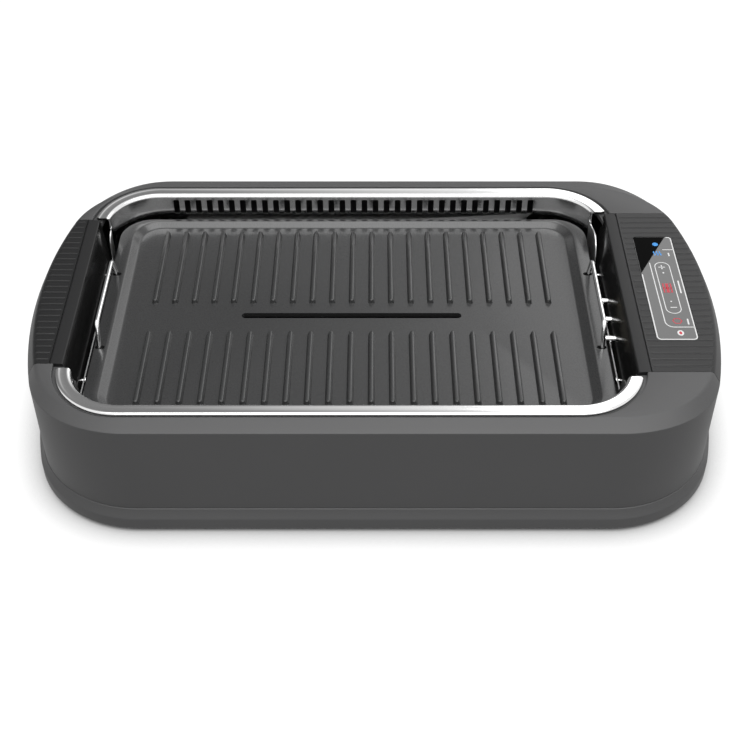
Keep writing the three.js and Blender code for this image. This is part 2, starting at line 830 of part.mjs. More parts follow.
// A side block: its section in X and Z with a drafted inner wall, run from end to end and trimmed
// by the body's own form
function sideBlock({ side, wallX, halfDepth }) {
  const outer = side * (endX + overrun);
  const crest = bodyHeight + overrun;
  const section = (inset, top, z0) => {
    const inner = wallX + side * inset;
    const stripEnd = wallX + side * (stripWidth + inset / 2);
    return polygon([
      [inner - side * blockLean * (top - stripDrop - z0), z0],
      [outer, z0],
      [outer, crest],
      [stripEnd, crest],
      [stripEnd, top],
      [inner, top - stripDrop],
    ]);
  };
  const [y0, y1] = [blockCentreY - halfDepth, blockCentreY + halfDepth];
  const whole = prismAlongY(section(0, bodyHeight, blockBottom), y0, y1).intersect(bodySolid);
  const roomSection = section(blockWall, bodyHeight - blockWall, blockBottom - overrun);
  const room = prismAlongY(roomSection, y0 + blockWall, y1 - blockWall);
  const hollow = room.intersect(bodyForm(blockWall, blockBottom - overrun));
  const grooveX = wallX + side * (stripWidth - grooveWidth / 2);
  const [g0, g1] = outwards(side, grooveX, grooveX + side * grooveWidth);
  const groove = block(g0, g1, y0 - overrun, y1 + overrun, bodyHeight - grooveDepth, bodyHeight + overrun);
  const ribsFrom = grooveX + side * (grooveWidth + grooveWidth);
  return cut(whole, [hollow, groove, ...ribGrooves(side, ribsFrom, y0, y1)]);
}

// Shallow grooves across a block's top, ending where the shoulder begins
function ribGrooves(side, fromX, y0, y1) {
  const floor = bodyHeight - ribGrooveDepth;
  const crest = bodyHeight + overrun;
  const edge = bodyOutline();
  const field = skin([ringAt(edge, shoulderDepth, floor), ringAt(edge, shoulderDepth, crest)], false);
  const count = Math.floor((y1 - y0 - ribPitch) / ribPitch);
  const first = (y0 + y1) / 2 - (count * ribPitch) / 2;
  const grooves = [];
  for (let i = 0; i <= count; i += 1) {
    const y = first + i * ribPitch;
    const half = ribGrooveWidth / 2;
    const [x0, x1] = outwards(side, fromX, side * (endX + overrun));
    grooves.push(block(x0, x1, y - half, y + half, floor, crest).intersect(field));
  }
  return grooves;
}

const panelX0 = podWallX + panelInset;
const panelX1 = panelX0 + panelWidth;
const panelY = blockCentreY + panelShift;
const panelX = (panelX0 + panelX1) / 2;

function controlPod() {
  const recess = prism(
    roundedRectangle(panelX, panelY, panelWidth / 2 + fit, panelHalfLength + fit, panelCornerRadius),
    bodyHeight - panelThickness - fit,
    bodyHeight + overrun,
  );
  const window = block(
    panelX0 + windowMargin,
    panelX1 - windowMargin,
    panelY - panelHalfLength + windowMargin,
    panelY + panelHalfLength - windowMargin,
    bodyHeight - overrun,
    bodyHeight,
  );
  const [holeX0, holeX1] = [podWallX - overrun, podWallX + blockWall + fit];
  const pinHoles = [-1, 0, 1].map((i) =>
    cylinderAlongX(pinY + i * pinPitch, pinZ, pinRadius + fit, holeX0, holeX1),
  );
  const posts = boardCorners().map(([x, y]) =>
    cylinder(x, y, boardPostRadius, controlBoardTop + fit, bodyHeight - blockWall + fit, 8),
  );
  const pod = cut(sideBlock(blocks.pod), [...pinHoles, ...screwHolesIn(blocks.pod)]);
  return cut(join([pod, ...posts]), [recess, window]);
}

function screwHolesIn({ side, wallX }) {
  return [-1, 1].map((sy) => {
    const y = blockCentreY + sy * linerScrewHalfSpan;
    const [x0, x1] = outwards(side, wallX - side * overrun, wallX + side * (blockWall + fit));
    return cylinderAlongX(y, linerScrewZ, linerScrewRadius + fit, x0, x1, 8);
  });
}

const controlBoardTop = bodyHeight - blockWall - displayHeight - looseFit;

function boardCorners() {
  const inset = boardMargin;
  return [panelX0 + inset, panelX1 - inset].flatMap((x) =>
    [-1, 1].map((sy) => [x, panelY + sy * (panelHalfLength + inset)]),
  );
}

function touchPanel() {
  const shape = roundedRectangle(panelX, panelY, panelWidth / 2, panelHalfLength, panelCornerRadius - fit);
  return prism(shape, bodyHeight - panelThickness, bodyHeight);
}

function displayModule() {
  const margin = windowMargin + displayMargin;
  const body = block(
    panelX0 + windowMargin,
    panelX1 - windowMargin,
    panelY - panelHalfLength + margin,
    panelY + panelHalfLength - margin,
    controlBoardTop + fit,
    bodyHeight - blockWall - fit,
  );
  const lens = block(
    panelX0 + margin,
    panelX1 - margin,
    panelY - panelHalfLength + margin + margin,
    panelY + panelHalfLength - margin - margin,
    bodyHeight - blockWall - looseFit,
    bodyHeight - panelThickness - looseFit,
  );
  return body.add(lens);
}

function controlBoard() {
  return block(
    panelX0,
    panelX1,
    panelY - panelHalfLength - boardEndMargin,
    panelY + panelHalfLength + boardEndMargin,
    controlBoardTop - boardThickness,
    controlBoardTop,
  );
}

const terminalDraft = blockLean * (bodyHeight - blockWall - stripDrop - pinZ - terminalHeight / 2);
const terminalX0 = podWallX - terminalDraft + blockWall + fit;
const terminalX1 = terminalX0 + terminalDepth;

function terminalBlock() {
  const half = pinPitch + terminalMargin;
  const body = block(
    terminalX0,
    terminalX1,
    pinY - half,
    pinY + half,
    pinZ - terminalHeight / 2,
    pinZ + terminalHeight / 2,
  );
  const bores = [-1, 0, 1].map((i) =>
    cylinderAlongX(pinY + i * pinPitch, pinZ, pinRadius + fit, terminalX0 - overrun, terminalX0 + pinSeat),
  );
  return cut(body, bores);
}

// A contact pin with a rounded nose, fixed in the terminal block
function contactPin(index) {
  const nose = podWallX - pinReach;
  const rounds = [
    [0, nose],
    [pinRadius / 2, nose],
    [pinRadius, nose + pinRadius],
    [pinRadius, terminalX0 + pinSeat - fit],
    [0, terminalX0 + pinSeat - fit],
  ];
  const points = rounds.map(([r, x]) => new THREE.Vector2(r, x));
  const geometry = new THREE.LatheGeometry(points, 12).rotateZ(-Math.PI / 2);
  return toSolid(geometry.translate(0, pinY + index * pinPitch, pinZ));
}

function powerBoard() {
  const top = powerBoardZ + boardThickness;
  const y = blockCentreY;
  const board = block(
    powerBoardX0,
    powerBoardX1,
    y - powerBoardHalfDepth,
    y + powerBoardHalfDepth,
    powerBoardZ,
    top,
  );
  const transformer = block(
    powerBoardX1 - boardMargin - transformerSize,
    powerBoardX1 - boardMargin,
    y - transformerSize,
    y,
    top - fit,
    top + transformerSize * partHeightShare,
  );
  const relays = [0, 1].map((i) => {
    const start = y + boardMargin + i * (relaySize + relayGap);
    return block(
      powerBoardX1 - boardMargin - relaySize,
      powerBoardX1 - boardMargin,
      start,
      start + relaySize * partHeightShare,
      top - fit,
      top + relaySize * partHeightShare,
    );
  });
  return join([board, transformer, ...relays]);
}

// A lead between two ends, with one sag that keeps it clear of the board's tall pieces
function heaterLead(index) {
  const y = pinY + index * pinPitch;
  const x = terminalX0 + terminalDepth / 2;
  const bottom = powerBoardZ + boardThickness + fit;
  const landingX = powerBoardX0 + boardMargin;
  const landingY = blockCentreY + index * (powerBoardHalfDepth - leadInset);
  const from = pinZ - terminalHeight / 2 - fit;
  const middle = (from + bottom) / 2;
  const corners = [
    new THREE.Vector3(x, y, from),
    new THREE.Vector3(x, y, middle + boardMargin),
    new THREE.Vector3(landingX, landingY, middle - boardMargin),
    new THREE.Vector3(landingX, landingY, bottom),
  ];
  return tube(bentPath(corners, leadBend, 2), leadRadius, 6);
}

function powerInlet() {
  const [x, z] = [inletX, inletZ];
  const body = block(
    x - inletHalfWidth,
    x + inletHalfWidth,
    endY - inletDepth,
    endY + inletFlangeThickness,
    z - inletHalfHeight,
    z + inletHalfHeight,
  );
  const flange = block(
    x - inletHalfWidth - inletFlange,
    x + inletHalfWidth + inletFlange,
    endY + fit,
    endY + fit + inletFlangeThickness,
    z - inletHalfHeight - inletFlange,
    z + inletHalfHeight + inletFlange,
  );
  const socketHalfX = inletHalfWidth - inletSocketWall;
  const socketHalfZ = inletHalfHeight - inletSocketWall;
  const socket = prismAlongY(
    roundedRectangle(x, z, socketHalfX, socketHalfZ, inletSocketWall),
    endY + inletFlangeThickness - inletSocketDepth,
    endY + overrun,
  );
  const back = endY + inletFlangeThickness - inletSocketDepth;
  const blades = [-1, 0, 1].map((i) => {
    const bladeX = x + i * bladeSpacing;
    const bladeZ = i === 0 ? z + bladeThickness : z - bladeThickness / 2;
    return block(
      bladeX - bladeThickness / 2,
      bladeX + bladeThickness / 2,
      back - fit,
      back + bladeLength,
      bladeZ - bladeWidth / 2,
      bladeZ + bladeWidth / 2,
    );
  });
  return join([cut(join([body, flange]), [socket]), ...blades]);
}

function inletLead() {
  const y = endY - inletDepth - fit;
  const runY = y - leadBend;
  const endZ = powerBoardZ + boardThickness + fit;
  const landingX = powerBoardX0 + leadInset;
  const landingY = blockCentreY + powerBoardHalfDepth - inletLeadInset;
  const corners = [
    new THREE.Vector3(inletX + inletHalfWidth / 2, y, inletZ),
    new THREE.Vector3(inletX + inletHalfWidth / 2, runY, inletZ),
    new THREE.Vector3(landingX, runY, inletZ),
    new THREE.Vector3(landingX, landingY, inletZ),
    new THREE.Vector3(landingX, landingY, endZ),
  ];
  return tube(bentPath(corners, leadRadius, 2), leadRadius, 6);
}

// Inner tub: the heat shield that the tray stands in
function innerTub() {
  const radius = rimCornerRadius - rimReach + sheet + fit + tubWall;
  const flangeInset = tubWall - tubFlangeWidth;
  const [halfLength, halfDepth] = [tubHalfLength + tubWall, tubHalfDepth + tubWall];
  const level = (inset, z) => [halfLength - inset, halfDepth - inset, radius - inset, z];
  const pan = (levels) => stacked(wellX, 0, levels, cornerSteps);
  const outside = pan([level(tubDraft, tubBottom), level(0, tubShoulderZ), level(0, tubTop)]);
  const inside = pan([
    level(tubDraft + tubWall, tubBottom + tubWall),
    level(tubWall, tubShoulderZ + tubWall),
    level(tubWall, tubTop + overrun),
  ]);
  const flange = pan([level(flangeInset, tubTop - tubWall), level(flangeInset, tubTop)]);
  return cut(join([outside, flange]), [inside]);
}

// Water tray: lifts out between the plate's ledges and short of the contact pins
function waterTray() {
  const halfDepth = linerHalfDepth - plateLedgeReach - trayLedgeGap;
  const halfLength = podWallX - pinReach - trayPinGap - wellX;
  const bottom = tubBottom + tubWall + fit;
  const top = tubTop - trayTopDrop;
  const level = (inset, z) => [halfLength - inset, halfDepth - inset, trayCornerRadius - inset, z];
  const outside = stacked(wellX, 0, [level(trayRimWidth + trayDraft, bottom), level(trayRimWidth, top)]);
  const rim = stacked(wellX, 0, [level(0, top - trayWall), level(0, top)]);
  const inside = stacked(wellX, 0, [
    level(trayRimWidth + trayDraft + trayWall, bottom + trayWall),
    level(trayRimWidth + trayWall, top + fit),
  ]);
  return cut(join([outside, rim]), [inside]);
}

// Grill plate: flange, drafted pan, ribs in two fields, drain slot and handle slots
function grillPlate() {
  const innerHalfLength = plateHalfLength - flangeWidth;
  const innerHalfDepth = plateHalfDepth - lipWidth;
  const innerRadius = plateCornerRadius - lipWidth;
  const [outerHalfLength, outerHalfDepth] = [innerHalfLength + plateWall, innerHalfDepth + plateWall];
  const flange = stacked(wellX, 0, [
    [plateHalfLength, plateHalfDepth, plateCornerRadius, flangeUnderside],
    [plateHalfLength, plateHalfDepth, plateCornerRadius, flangeTop],
  ]);
  const pan = stacked(wellX, 0, [
    [outerHalfLength - plateDraft, outerHalfDepth - lipWidth, innerRadius, plateBottom],
    [outerHalfLength, outerHalfDepth, innerRadius + plateWall, flangeUnderside + fit],
  ]);
  const floorHalfLength = innerHalfLength - plateDraft;
  const floorHalfDepth = innerHalfDepth - lipWidth;
  const pocket = stacked(wellX, 0, [
    [floorHalfLength, floorHalfDepth, innerRadius - lipWidth, plateFloorTop],
    [innerHalfLength, innerHalfDepth, innerRadius, flangeTop],
    [innerHalfLength, innerHalfDepth, innerRadius, flangeTop + overrun],
  ]);
  const shell = cut(join([flange, pan]), [pocket]);
  const drain = prism(
    roundedRectangle(wellX, drainY, drainLength / 2, drainWidth / 2, drainWidth / 2 - fit),
    plateBottom - overrun,
    flangeTop,
  );
  const ribs = plateRibs(floorHalfLength, floorHalfDepth);
  const slots = [-1, 1].flatMap((sx) =>
    [-1, 1].map((sy) => {
      const x = wellX + sx * (plateHalfLength - handleSlotInset);
      const half = wireRadius + panelGap;
      const shape = roundedRectangle(x, sy * handleHalfSpan, handleSlotLength / 2, half, half - fit);
      return prism(shape, plateBottom - overrun, flangeTop + overrun);
    }),
  );
  return cut(join([shell, ...ribs]), [drain, ...slots]);
}

// A bar's plan with half-round ends
function stadiumOutline(x, y0, y1, radius) {
  return [...arcPoints(x, y1, radius, 0, Math.PI, 2), ...arcPoints(x, y0, radius, Math.PI, 2 * Math.PI, 2)];
}

function plateRibs(floorHalfLength, floorHalfDepth) {
  const steps = Math.floor((floorHalfLength - ribSideMargin) / platePitch);
  const far = floorHalfDepth - ribWallGap;
  const fields = [
    [drainY + ribRearStart, far],
    [-far, drainY - ribFrontStart],
  ];
  const ribs = [];
  for (let i = -steps; i <= steps; i += 1) {
    for (const [from, to] of fields) {
      const [base, crown] = [ribBaseWidth / 2, ribTopWidth / 2];
      const x = wellX + i * platePitch;
      const lower = ringAt(stadiumOutline(x, from + base, to - base, base), 0, plateFloorTop - fit);
      const upper = ringAt(stadiumOutline(x, from + base, to - base, crown), 0, plateFloorTop + ribHeight);
      ribs.push(skin([lower, upper], false));
    }
  }
  return ribs;
}

// Wire handles: the legs pass through the flange's slots and turn in under it
const handlePivotZ = flangeUnderside - fit - wireRadius - handleFoot * Math.sin(handleLean) - fit;
const handlePivotX = (side) => wellX + side * (plateHalfLength - handleSlotInset + fit);

function wireHandle(side) {
  const up = new THREE.Vector3(side * Math.sin(handleLean), 0, Math.cos(handleLean));
  const inwards = new THREE.Vector3(-side * Math.cos(handleLean), 0, Math.sin(handleLean));
  const pivot = new THREE.Vector3(handlePivotX(side), 0, handlePivotZ);
  const height = (handleTop - handlePivotZ) / Math.cos(handleLean);
  const knee = (flangeTop + wireRadius - handlePivotZ) / Math.cos(handleLean);
  const place = (y, rise, reach) =>
    pivot.clone().addScaledVector(up, rise).addScaledVector(inwards, reach).setY(y);
  const leg = (sy) => {
    const corners = [
      place(sy * handleHalfSpan, 0, handleFoot),
      place(sy * handleHalfSpan, 0, 0),
      place(sy * handleHalfSpan, knee, 0),
      place(sy * handleTopHalfSpan, height, 0),
      place(0, height, 0),
    ];
    const foot = bentPath(corners.slice(0, 3), handleElbow, 3);
    const shoulder = bentPath(corners.slice(2), handleBend, 4);
    return [...foot, ...shoulder.slice(1)];
  };
  return tube([...leg(-1).slice(0, -1), ...leg(1).reverse().slice(1)], wireRadius, 8);
}

// Heating element: four runs under the plate and two ends at the contacts
const elementZ = plateBottom - fit - elementRadius - hairGap;
const contactX1 = podWallX - pinReach + prongLength - fit;
const contactX0 = contactX1 - prongLength - contactBody;

function heatingElement() {
  const far = wellX - plateHalfLength + flangeWidth + elementEndMargin;
  const near = wellX + plateHalfLength - flangeWidth - elementEndMargin;
  const turn = (elementOuterSpan - elementInnerSpan) / 2;
  const half = (sy) => {
    const terminalY = pinY + sy * pinPitch;
    const entry = bentPath(
      [
        new THREE.Vector3(contactX0 - fit, terminalY, elementZ),
        new THREE.Vector3(near + elementLeadSpread, terminalY, elementZ),
        new THREE.Vector3(near, sy * elementOuterSpan, elementZ),
        new THREE.Vector3(far, sy * elementOuterSpan, elementZ),
      ],
      elementLeadBend,
      3,
    );
    const points = entry.slice(0, -1);
    for (let i = 0; i <= elementTurnSteps; i += 1) {
      const angle = (Math.PI * i) / elementTurnSteps;
      const y = sy * (elementInnerSpan + turn + turn * Math.cos(angle));
      points.push(new THREE.Vector3(far - turn * Math.sin(angle), y, elementZ));
    }
    return points;
  };
  const middle = [];
  for (let i = 0; i <= elementTurnSteps; i += 1) {
    const angle = Math.PI / 2 - (Math.PI * i) / elementTurnSteps;
    const x = near - elementInnerSpan - turn + elementInnerSpan * Math.cos(angle);
    middle.push(new THREE.Vector3(x, elementInnerSpan * Math.sin(angle), elementZ));
  }
  return tube([...half(1), ...middle, ...half(-1).reverse()], elementRadius, elementSides);
}

// A fork contact: two prongs that drop over a pin from above
function forkContact(index) {
  const y = pinY + index * pinPitch;
  const inner = pinRadius + fit;
  const outer = inner + prongWall;
  const top = pinZ + pinRadius + fit;
  const bottom = pinZ - elementRadius;
  const bodyEnd = contactX0 + contactBody;
  const body = block(contactX0, bodyEnd, y - outer, y + outer, bottom, top + fit);
  const prongs = [-1, 1].map((sy) => {
    const [a, b] = [y + sy * inner, y + sy * outer];
    return block(bodyEnd - fit, contactX1, Math.min(a, b), Math.max(a, b), bottom, top + fit);
  });
  return join([body, ...prongs]);
}

// The insulating block under the flange that holds the fork contacts
function forkBlock() {
  const half = pinPitch + terminalMargin;
  const innerX = contactX0 + contactBody + fit;
  const outerX = wellX + plateHalfLength - wideFit;
  const bottom = pinZ - elementRadius - sheet;
  const low = block(innerX, outerX, pinY - half, pinY + half, bottom, plateBottom - fit);
  const panEdge = wellX + plateHalfLength - flangeWidth + plateWall + looseFit;
  const high = block(panEdge, outerX, pinY - half, pinY + half, plateBottom - sheet, flangeUnderside - fit);
  const roof = pinZ + pinRadius + wideFit;
  const channels = [-1, 0, 1].map((i) => {
    const y = pinY + i * pinPitch;
    const width = pinRadius + looseFit + (i === 0 ? 0 : prongWall);
    return block(innerX - overrun, outerX + overrun, y - width, y + width, bottom - overrun, roof);
  });
  return cut(join([low, high]), channels);
}

// A strap that holds two runs of the element up to the plate
function elementClamp(share, sy) {
  const x = wellX + share * plateHalfLength;
  const y = (sy * (elementOuterSpan + elementInnerSpan)) / 2;
  const reach = (elementOuterSpan - elementInnerSpan) / 2 + elementRadius + elementRadius;
  const top = elementZ - elementRadius - fit;
  const strap = block(x - clampWidth / 2, x + clampWidth / 2, y - reach, y + reach, top - clampSheet, top);
  const post = block(
    x - clampWidth / 2,
    x + clampWidth / 2,
    y - clampPost / 2,
    y + clampPost / 2,
    top - clampSheet / 2,
    plateBottom - fit,
  );
  return strap.add(post);
}

// The scroll's plan: a spiral that leaves into a spreading outlet at the rear
function scrollShape(inset, outletOverrun) {
  const points = [];
  for (let i = 0; i <= scrollSteps; i += 1) {
    const share = i / scrollSteps;
    const angle = tongueAngle + (2 * Math.PI - tongueAngle) * share;
    const radius = scrollStartRadius + scrollGrowth * share - inset;
    points.push([fanX + radius * Math.cos(angle), fanY + radius * Math.sin(angle)]);
  }
  const outletY = endY - outletGap + outletOverrun;
  points.push([outletX1 - inset, outletY]);
  points.push([outletX0 + inset, outletY]);
  return polygon(points);
}

const outletX0 = fanX + scrollStartRadius * Math.cos(tongueAngle) - outletSpread;
const outletX1 = fanX + scrollStartRadius + scrollGrowth + outletSpread;
const scrollZ = baseTop + fit;
const scrollInsideZ = scrollZ + scrollFloor;
const scrollTop = scrollZ + scrollHeight;

function fanScroll() {
  const body = prism(scrollShape(0, 0), scrollZ, scrollTop);
  const room = prism(scrollShape(scrollWall, overrun), scrollInsideZ, scrollTop + overrun);
  return body.subtract(room);
}

function fanCover() {
  const plate = prism(scrollShape(0, 0), scrollTop + fit, scrollTop + fit + scrollFloor);
  return plate.subtract(cylinder(fanX, fanY, intakeRadius, scrollTop - overrun, scrollTop + overrun, 24));
}

const motorZ = scrollInsideZ + fit;
const motorTop = motorZ + motorHeight;

function fanMotor() {
  const seat = motorTop - bearingHeight - fit;
  const profile = [
    [0, motorZ],
    [motorRadius, motorZ],
    [motorRadius, motorTop],
    [bearingRadius + fit, motorTop],
    [bearingRadius + fit, seat],
    [shaftRadius + fit, seat],
    [shaftRadius + fit, motorTop - shaftSink - fit],
    [0, motorTop - shaftSink - fit],
  ];
  return turned(profile, fanX, fanY, 16);
}

function fanBearing() {
  const seat = motorTop - bearingHeight;
  const profile = [
    [shaftRadius + fit, seat],
    [bearingRadius, seat],
    [bearingRadius, motorTop],
    [shaftRadius + fit, motorTop],
    [shaftRadius + fit, seat],
  ];
  return turned(profile, fanX, fanY, 16);
}

const impellerZ = motorZ + impellerRunning;
const cupTop = motorTop + impellerRunning;

function fanShaft() {
  return cylinder(fanX, fanY, shaftRadius, motorTop - shaftSink, cupTop + shaftTop, 10);
}

// A centrifugal impeller: a cup over the motor, a back plate, blades and a shroud ring
function fanImpeller() {
  const cupIn = motorRadius + impellerRunning;
  const cupOut = cupIn + impellerWall;
  const plateTop = impellerZ + impellerWall;
  const shroudTop = impellerZ + impellerHeight;
  const body = turned(
    [
      [shaftRadius + fit, cupTop],
      [cupIn, cupTop],
      [cupIn, impellerZ],
      [impellerRadius, impellerZ],
      [impellerRadius, plateTop],
      [cupOut, plateTop],
      [cupOut, cupTop + impellerWall],
      [hubRadius, cupTop + impellerWall],
      [hubRadius, cupTop + impellerWall + hubHeight],
      [shaftRadius + fit, cupTop + impellerWall + hubHeight],
      [shaftRadius + fit, cupTop],
    ],
    fanX,
    fanY,
    18,
  );
  const inner = impellerRadius - shroudWidth;
  const shroud = turned(
    [
      [inner, shroudTop - impellerWall],
      [impellerRadius, shroudTop - impellerWall],
      [impellerRadius, shroudTop],
      [inner, shroudTop],
      [inner, shroudTop - impellerWall],
    ],
    fanX,
    fanY,
    18,
  );
  const blades = [];
  for (let i = 0; i < bladeCount; i += 1) {
    const height = shroudTop - plateTop;
    const blade = new THREE.BoxGeometry(bladeChord, bladeSheet, height);
    blade.rotateZ(bladeTilt).translate(impellerRadius - bladeChord / 2, 0, 0);
    blade.rotateZ((2 * Math.PI * i) / bladeCount).translate(fanX, fanY, plateTop + height / 2 - fit);
    blades.push(toSolid(blade));
  }
  return join([body, shroud, ...blades]);
}

// The outlet grille stands in the rear skirt
function exhaustGrille() {
  const [y0, y1] = [endY + skirtFlare - shellWall, endY + skirtFlare - fit];
  const [z0, z1] = [baseTop, baseTop + grilleHeight];
  const frame = block(outletX0, outletX1, y0, y1, z0, z1);
  const width = outletX1 - outletX0 - grilleFrame * 2;
  const count = Math.floor(width / grilleBarPitch);
  const pitch = width / count;
  const gaps = [];
  for (let i = 0; i < count; i += 1) {
    const x = outletX0 + grilleFrame + i * pitch + grilleBarWidth / 2;
    const end = x + pitch - grilleBarWidth;
    gaps.push(block(x, end, y0 - overrun, y1 + overrun, z0 + grilleFrame, z1 - grilleFrame));
  }
  return cut(frame, gaps);
}

// Finishes
const finishes = {
  blackSatin: { color: 0x2b2c2e, roughness: 0.42, metalness: 0.0 },
  blackGrip: { color: 0x232426, roughness: 0.5, metalness: 0.0 },
  blackGlass: { color: 0x08090a, roughness: 0.08, metalness: 0.0 },
  coatedPlate: { color: 0x3c3d3e, roughness: 0.5, metalness: 0.4 },
  bright: { color: 0xc9cbcd, roughness: 0.22, metalness: 1.0 },
  galvanised: { color: 0x9aa0a4, roughness: 0.45, metalness: 1.0 },
  elementSteel: { color: 0x50504e, roughness: 0.55, metalness: 0.9 },
  brass: { color: 0xb08d4a, roughness: 0.35, metalness: 1.0 },
  rubber: { color: 0x1a1a1a, roughness: 0.9, metalness: 0.0 },
  ceramic: { color: 0xd8d2c2, roughness: 0.7, metalness: 0.0 },
  innerPlastic: { color: 0x1e1f21, roughness: 0.6, metalness: 0.0 },
  boardGreen: { color: 0x1f4a33, roughness: 0.6, metalness: 0.0 },
  lead: { color: 0x8c2a22, roughness: 0.5, metalness: 0.0 },
};

const grill = new THREE.Group();

function place(name, solid, finish) {
  const mesh = new THREE.Mesh(toGeometry(solid), new THREE.MeshStandardMaterial(finishes[finish]));
  mesh.name = name;
  grill.add(mesh);
}

const corners = ["front_left", "rear_left", "front_right", "rear_right"];

place("upper_housing", upperHousing(), "blackSatin");
place("lower_housing", lowerHousing(), "blackSatin");
place("grill_liner", grillLiner(), "bright");
const leftGrip = cut(sideBlock(blocks.grip), screwHolesIn(blocks.grip));
place("left_grip", leftGrip, "blackGrip");
place("control_pod", controlPod(), "blackGrip");
place("touch_panel", touchPanel(), "blackGlass");
place("display_module", displayModule(), "innerPlastic");
place("control_board", controlBoard(), "boardGreen");
place("power_board", powerBoard(), "boardGreen");
place("terminal_block", terminalBlock(), "ceramic");
place("contact_pin_front", contactPin(-1), "bright");
place("temperature_probe", contactPin(0), "bright");
place("contact_pin_rear", contactPin(1), "bright");
place("heater_lead_front", heaterLead(-1), "lead");
place("heater_lead_rear", heaterLead(1), "lead");
place("power_inlet", powerInlet(), "innerPlastic");
place("inlet_lead", inletLead(), "lead");
place("inner_tub", innerTub(), "galvanised");
place("fan_scroll", fanScroll(), "innerPlastic");
place("fan_cover", fanCover(), "innerPlastic");
place("fan_motor", fanMotor(), "galvanised");
place("fan_bearing", fanBearing(), "brass");
place("fan_shaft", fanShaft(), "galvanised");
place("fan_impeller", fanImpeller(), "innerPlastic");
place("exhaust_grille", exhaustGrille(), "blackSatin");
place("water_tray", waterTray(), "galvanised");
place("grill_plate", grillPlate(), "coatedPlate");
place("heating_element", heatingElement(), "elementSteel");
place("contact_fork_front", forkContact(-1), "brass");
place("contact_fork_rear", forkContact(1), "brass");
place("fork_block", forkBlock(), "ceramic");
clampShares.forEach((share, i) => {
  place(`element_clamp_front_${i + 1}`, elementClamp(share, -1), "galvanised");
  place(`element_clamp_rear_${i + 1}`, elementClamp(share, 1), "galvanised");
});
place("handle_left", wireHandle(-1), "bright");
place("handle_right", wireHandle(1), "bright");
footPlaces.forEach((spot, i) => place(`foot_${corners[i]}`, foot(spot), "rubber"));
screwPlaces.forEach((spot, i) => place(`base_screw_${corners[i]}`, baseScrew(spot), "galvanised"));
linerScrewPlaces().forEach((spot) => {
  const where = `${spot.y < blockCentreY ? "front" : "rear"}_${spot.side < 0 ? "left" : "right"}`;
  place(`liner_screw_${where}`, linerScrew(spot), "bright");
});

export default grill;
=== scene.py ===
import math

import bmesh
import bpy
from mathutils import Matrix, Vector


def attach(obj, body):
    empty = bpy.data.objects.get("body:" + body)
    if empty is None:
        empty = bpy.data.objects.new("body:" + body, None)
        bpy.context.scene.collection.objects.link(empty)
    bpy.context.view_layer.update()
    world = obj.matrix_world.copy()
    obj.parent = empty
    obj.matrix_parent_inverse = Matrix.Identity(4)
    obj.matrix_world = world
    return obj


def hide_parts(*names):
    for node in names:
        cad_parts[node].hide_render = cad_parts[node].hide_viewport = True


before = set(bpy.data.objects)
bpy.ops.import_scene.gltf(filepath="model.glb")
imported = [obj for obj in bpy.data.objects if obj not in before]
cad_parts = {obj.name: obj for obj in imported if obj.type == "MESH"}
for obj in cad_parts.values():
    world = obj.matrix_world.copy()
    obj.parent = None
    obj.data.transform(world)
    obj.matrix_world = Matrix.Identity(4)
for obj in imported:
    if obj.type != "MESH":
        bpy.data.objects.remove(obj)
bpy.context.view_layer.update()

# Sizes are millimetres in the frame of the CAD model, except where a comment says metres;
# make_object turns them into metres.
MM = 0.001

# Camera at the photograph's viewing angle; place in metres, tilt in degrees
CAMERA_PLACE = (0.00043, -0.82891, 0.77215)
CAMERA_TILT = 47.5
CAMERA_LENS = 62.976
SENSOR_WIDTH = 36.0

camera_data = bpy.data.cameras.new("photo_camera")
camera_data.lens = CAMERA_LENS
camera_data.sensor_width = SENSOR_WIDTH
camera_data.clip_end = 30.0
camera = bpy.data.objects.new("photo_camera", camera_data)
camera.location = CAMERA_PLACE
camera.rotation_euler = (math.radians(CAMERA_TILT), 0, 0)
bpy.context.scene.collection.objects.link(camera)
bpy.context.scene.camera = camera

# A height above the whole body, where the cutters that are open to the top end
ABOVE = 130

# Body: its plan is two shallow side arcs and four corner arcs between straight front and rear walls
END_X = 275.45
END_Y = 160.7
DECK_Z = 106.0
SIDE_RADIUS = 383.0
CORNER_RADIUS = 84.7
SHELL = 3.0
UPPER_BOTTOM = 22.6
DECK_GROOVE = 2.4

# Crease and bevel of the end walls, and how much higher and wider they are at the front and rear
END_CREASE_Z = 93.8
CREASE_RISE = 8.5
END_BEVEL = 6.05
BEVEL_GROWTH = 7.65

# Holes in the rear wall: x0, x1, y0, y1, z0, z1
INLET_HOLE = (136.2, 163.8, 150, 190, 34.9, 55.1)
GRILLE_HOLE = (-10.2, 50.3, 150, 190, 5.7, 14.3)

# Base
FLARE = 4.3
BASE_SCREW_X = 115
BASE_SCREW_Y = 148.7
BASE_SCREW_HOLE = 4.3

# Well, rim and liner
WELL_X = -18.75
RIM_HALF_X = 222.65
RIM_HALF_Y = 144.7
RIM_RADIUS = 53.0
RIM_REACH = 11.9
LINER_HALF_X = 210.75
LINER_HALF_Y = 132.8
LINER_SHEET = 0.9
LINER_BOTTOM = 54.0
LOW_WALL_TOP = 67.5
RIM_ROUND = 3.2
RIM_ROUND_AT = (8.7, 103.1)
VENTS_EACH_WAY = 16
VENT_PITCH = 9.82
VENT_HALF = 2.55
VENT_Z = (86.7, 101.1)

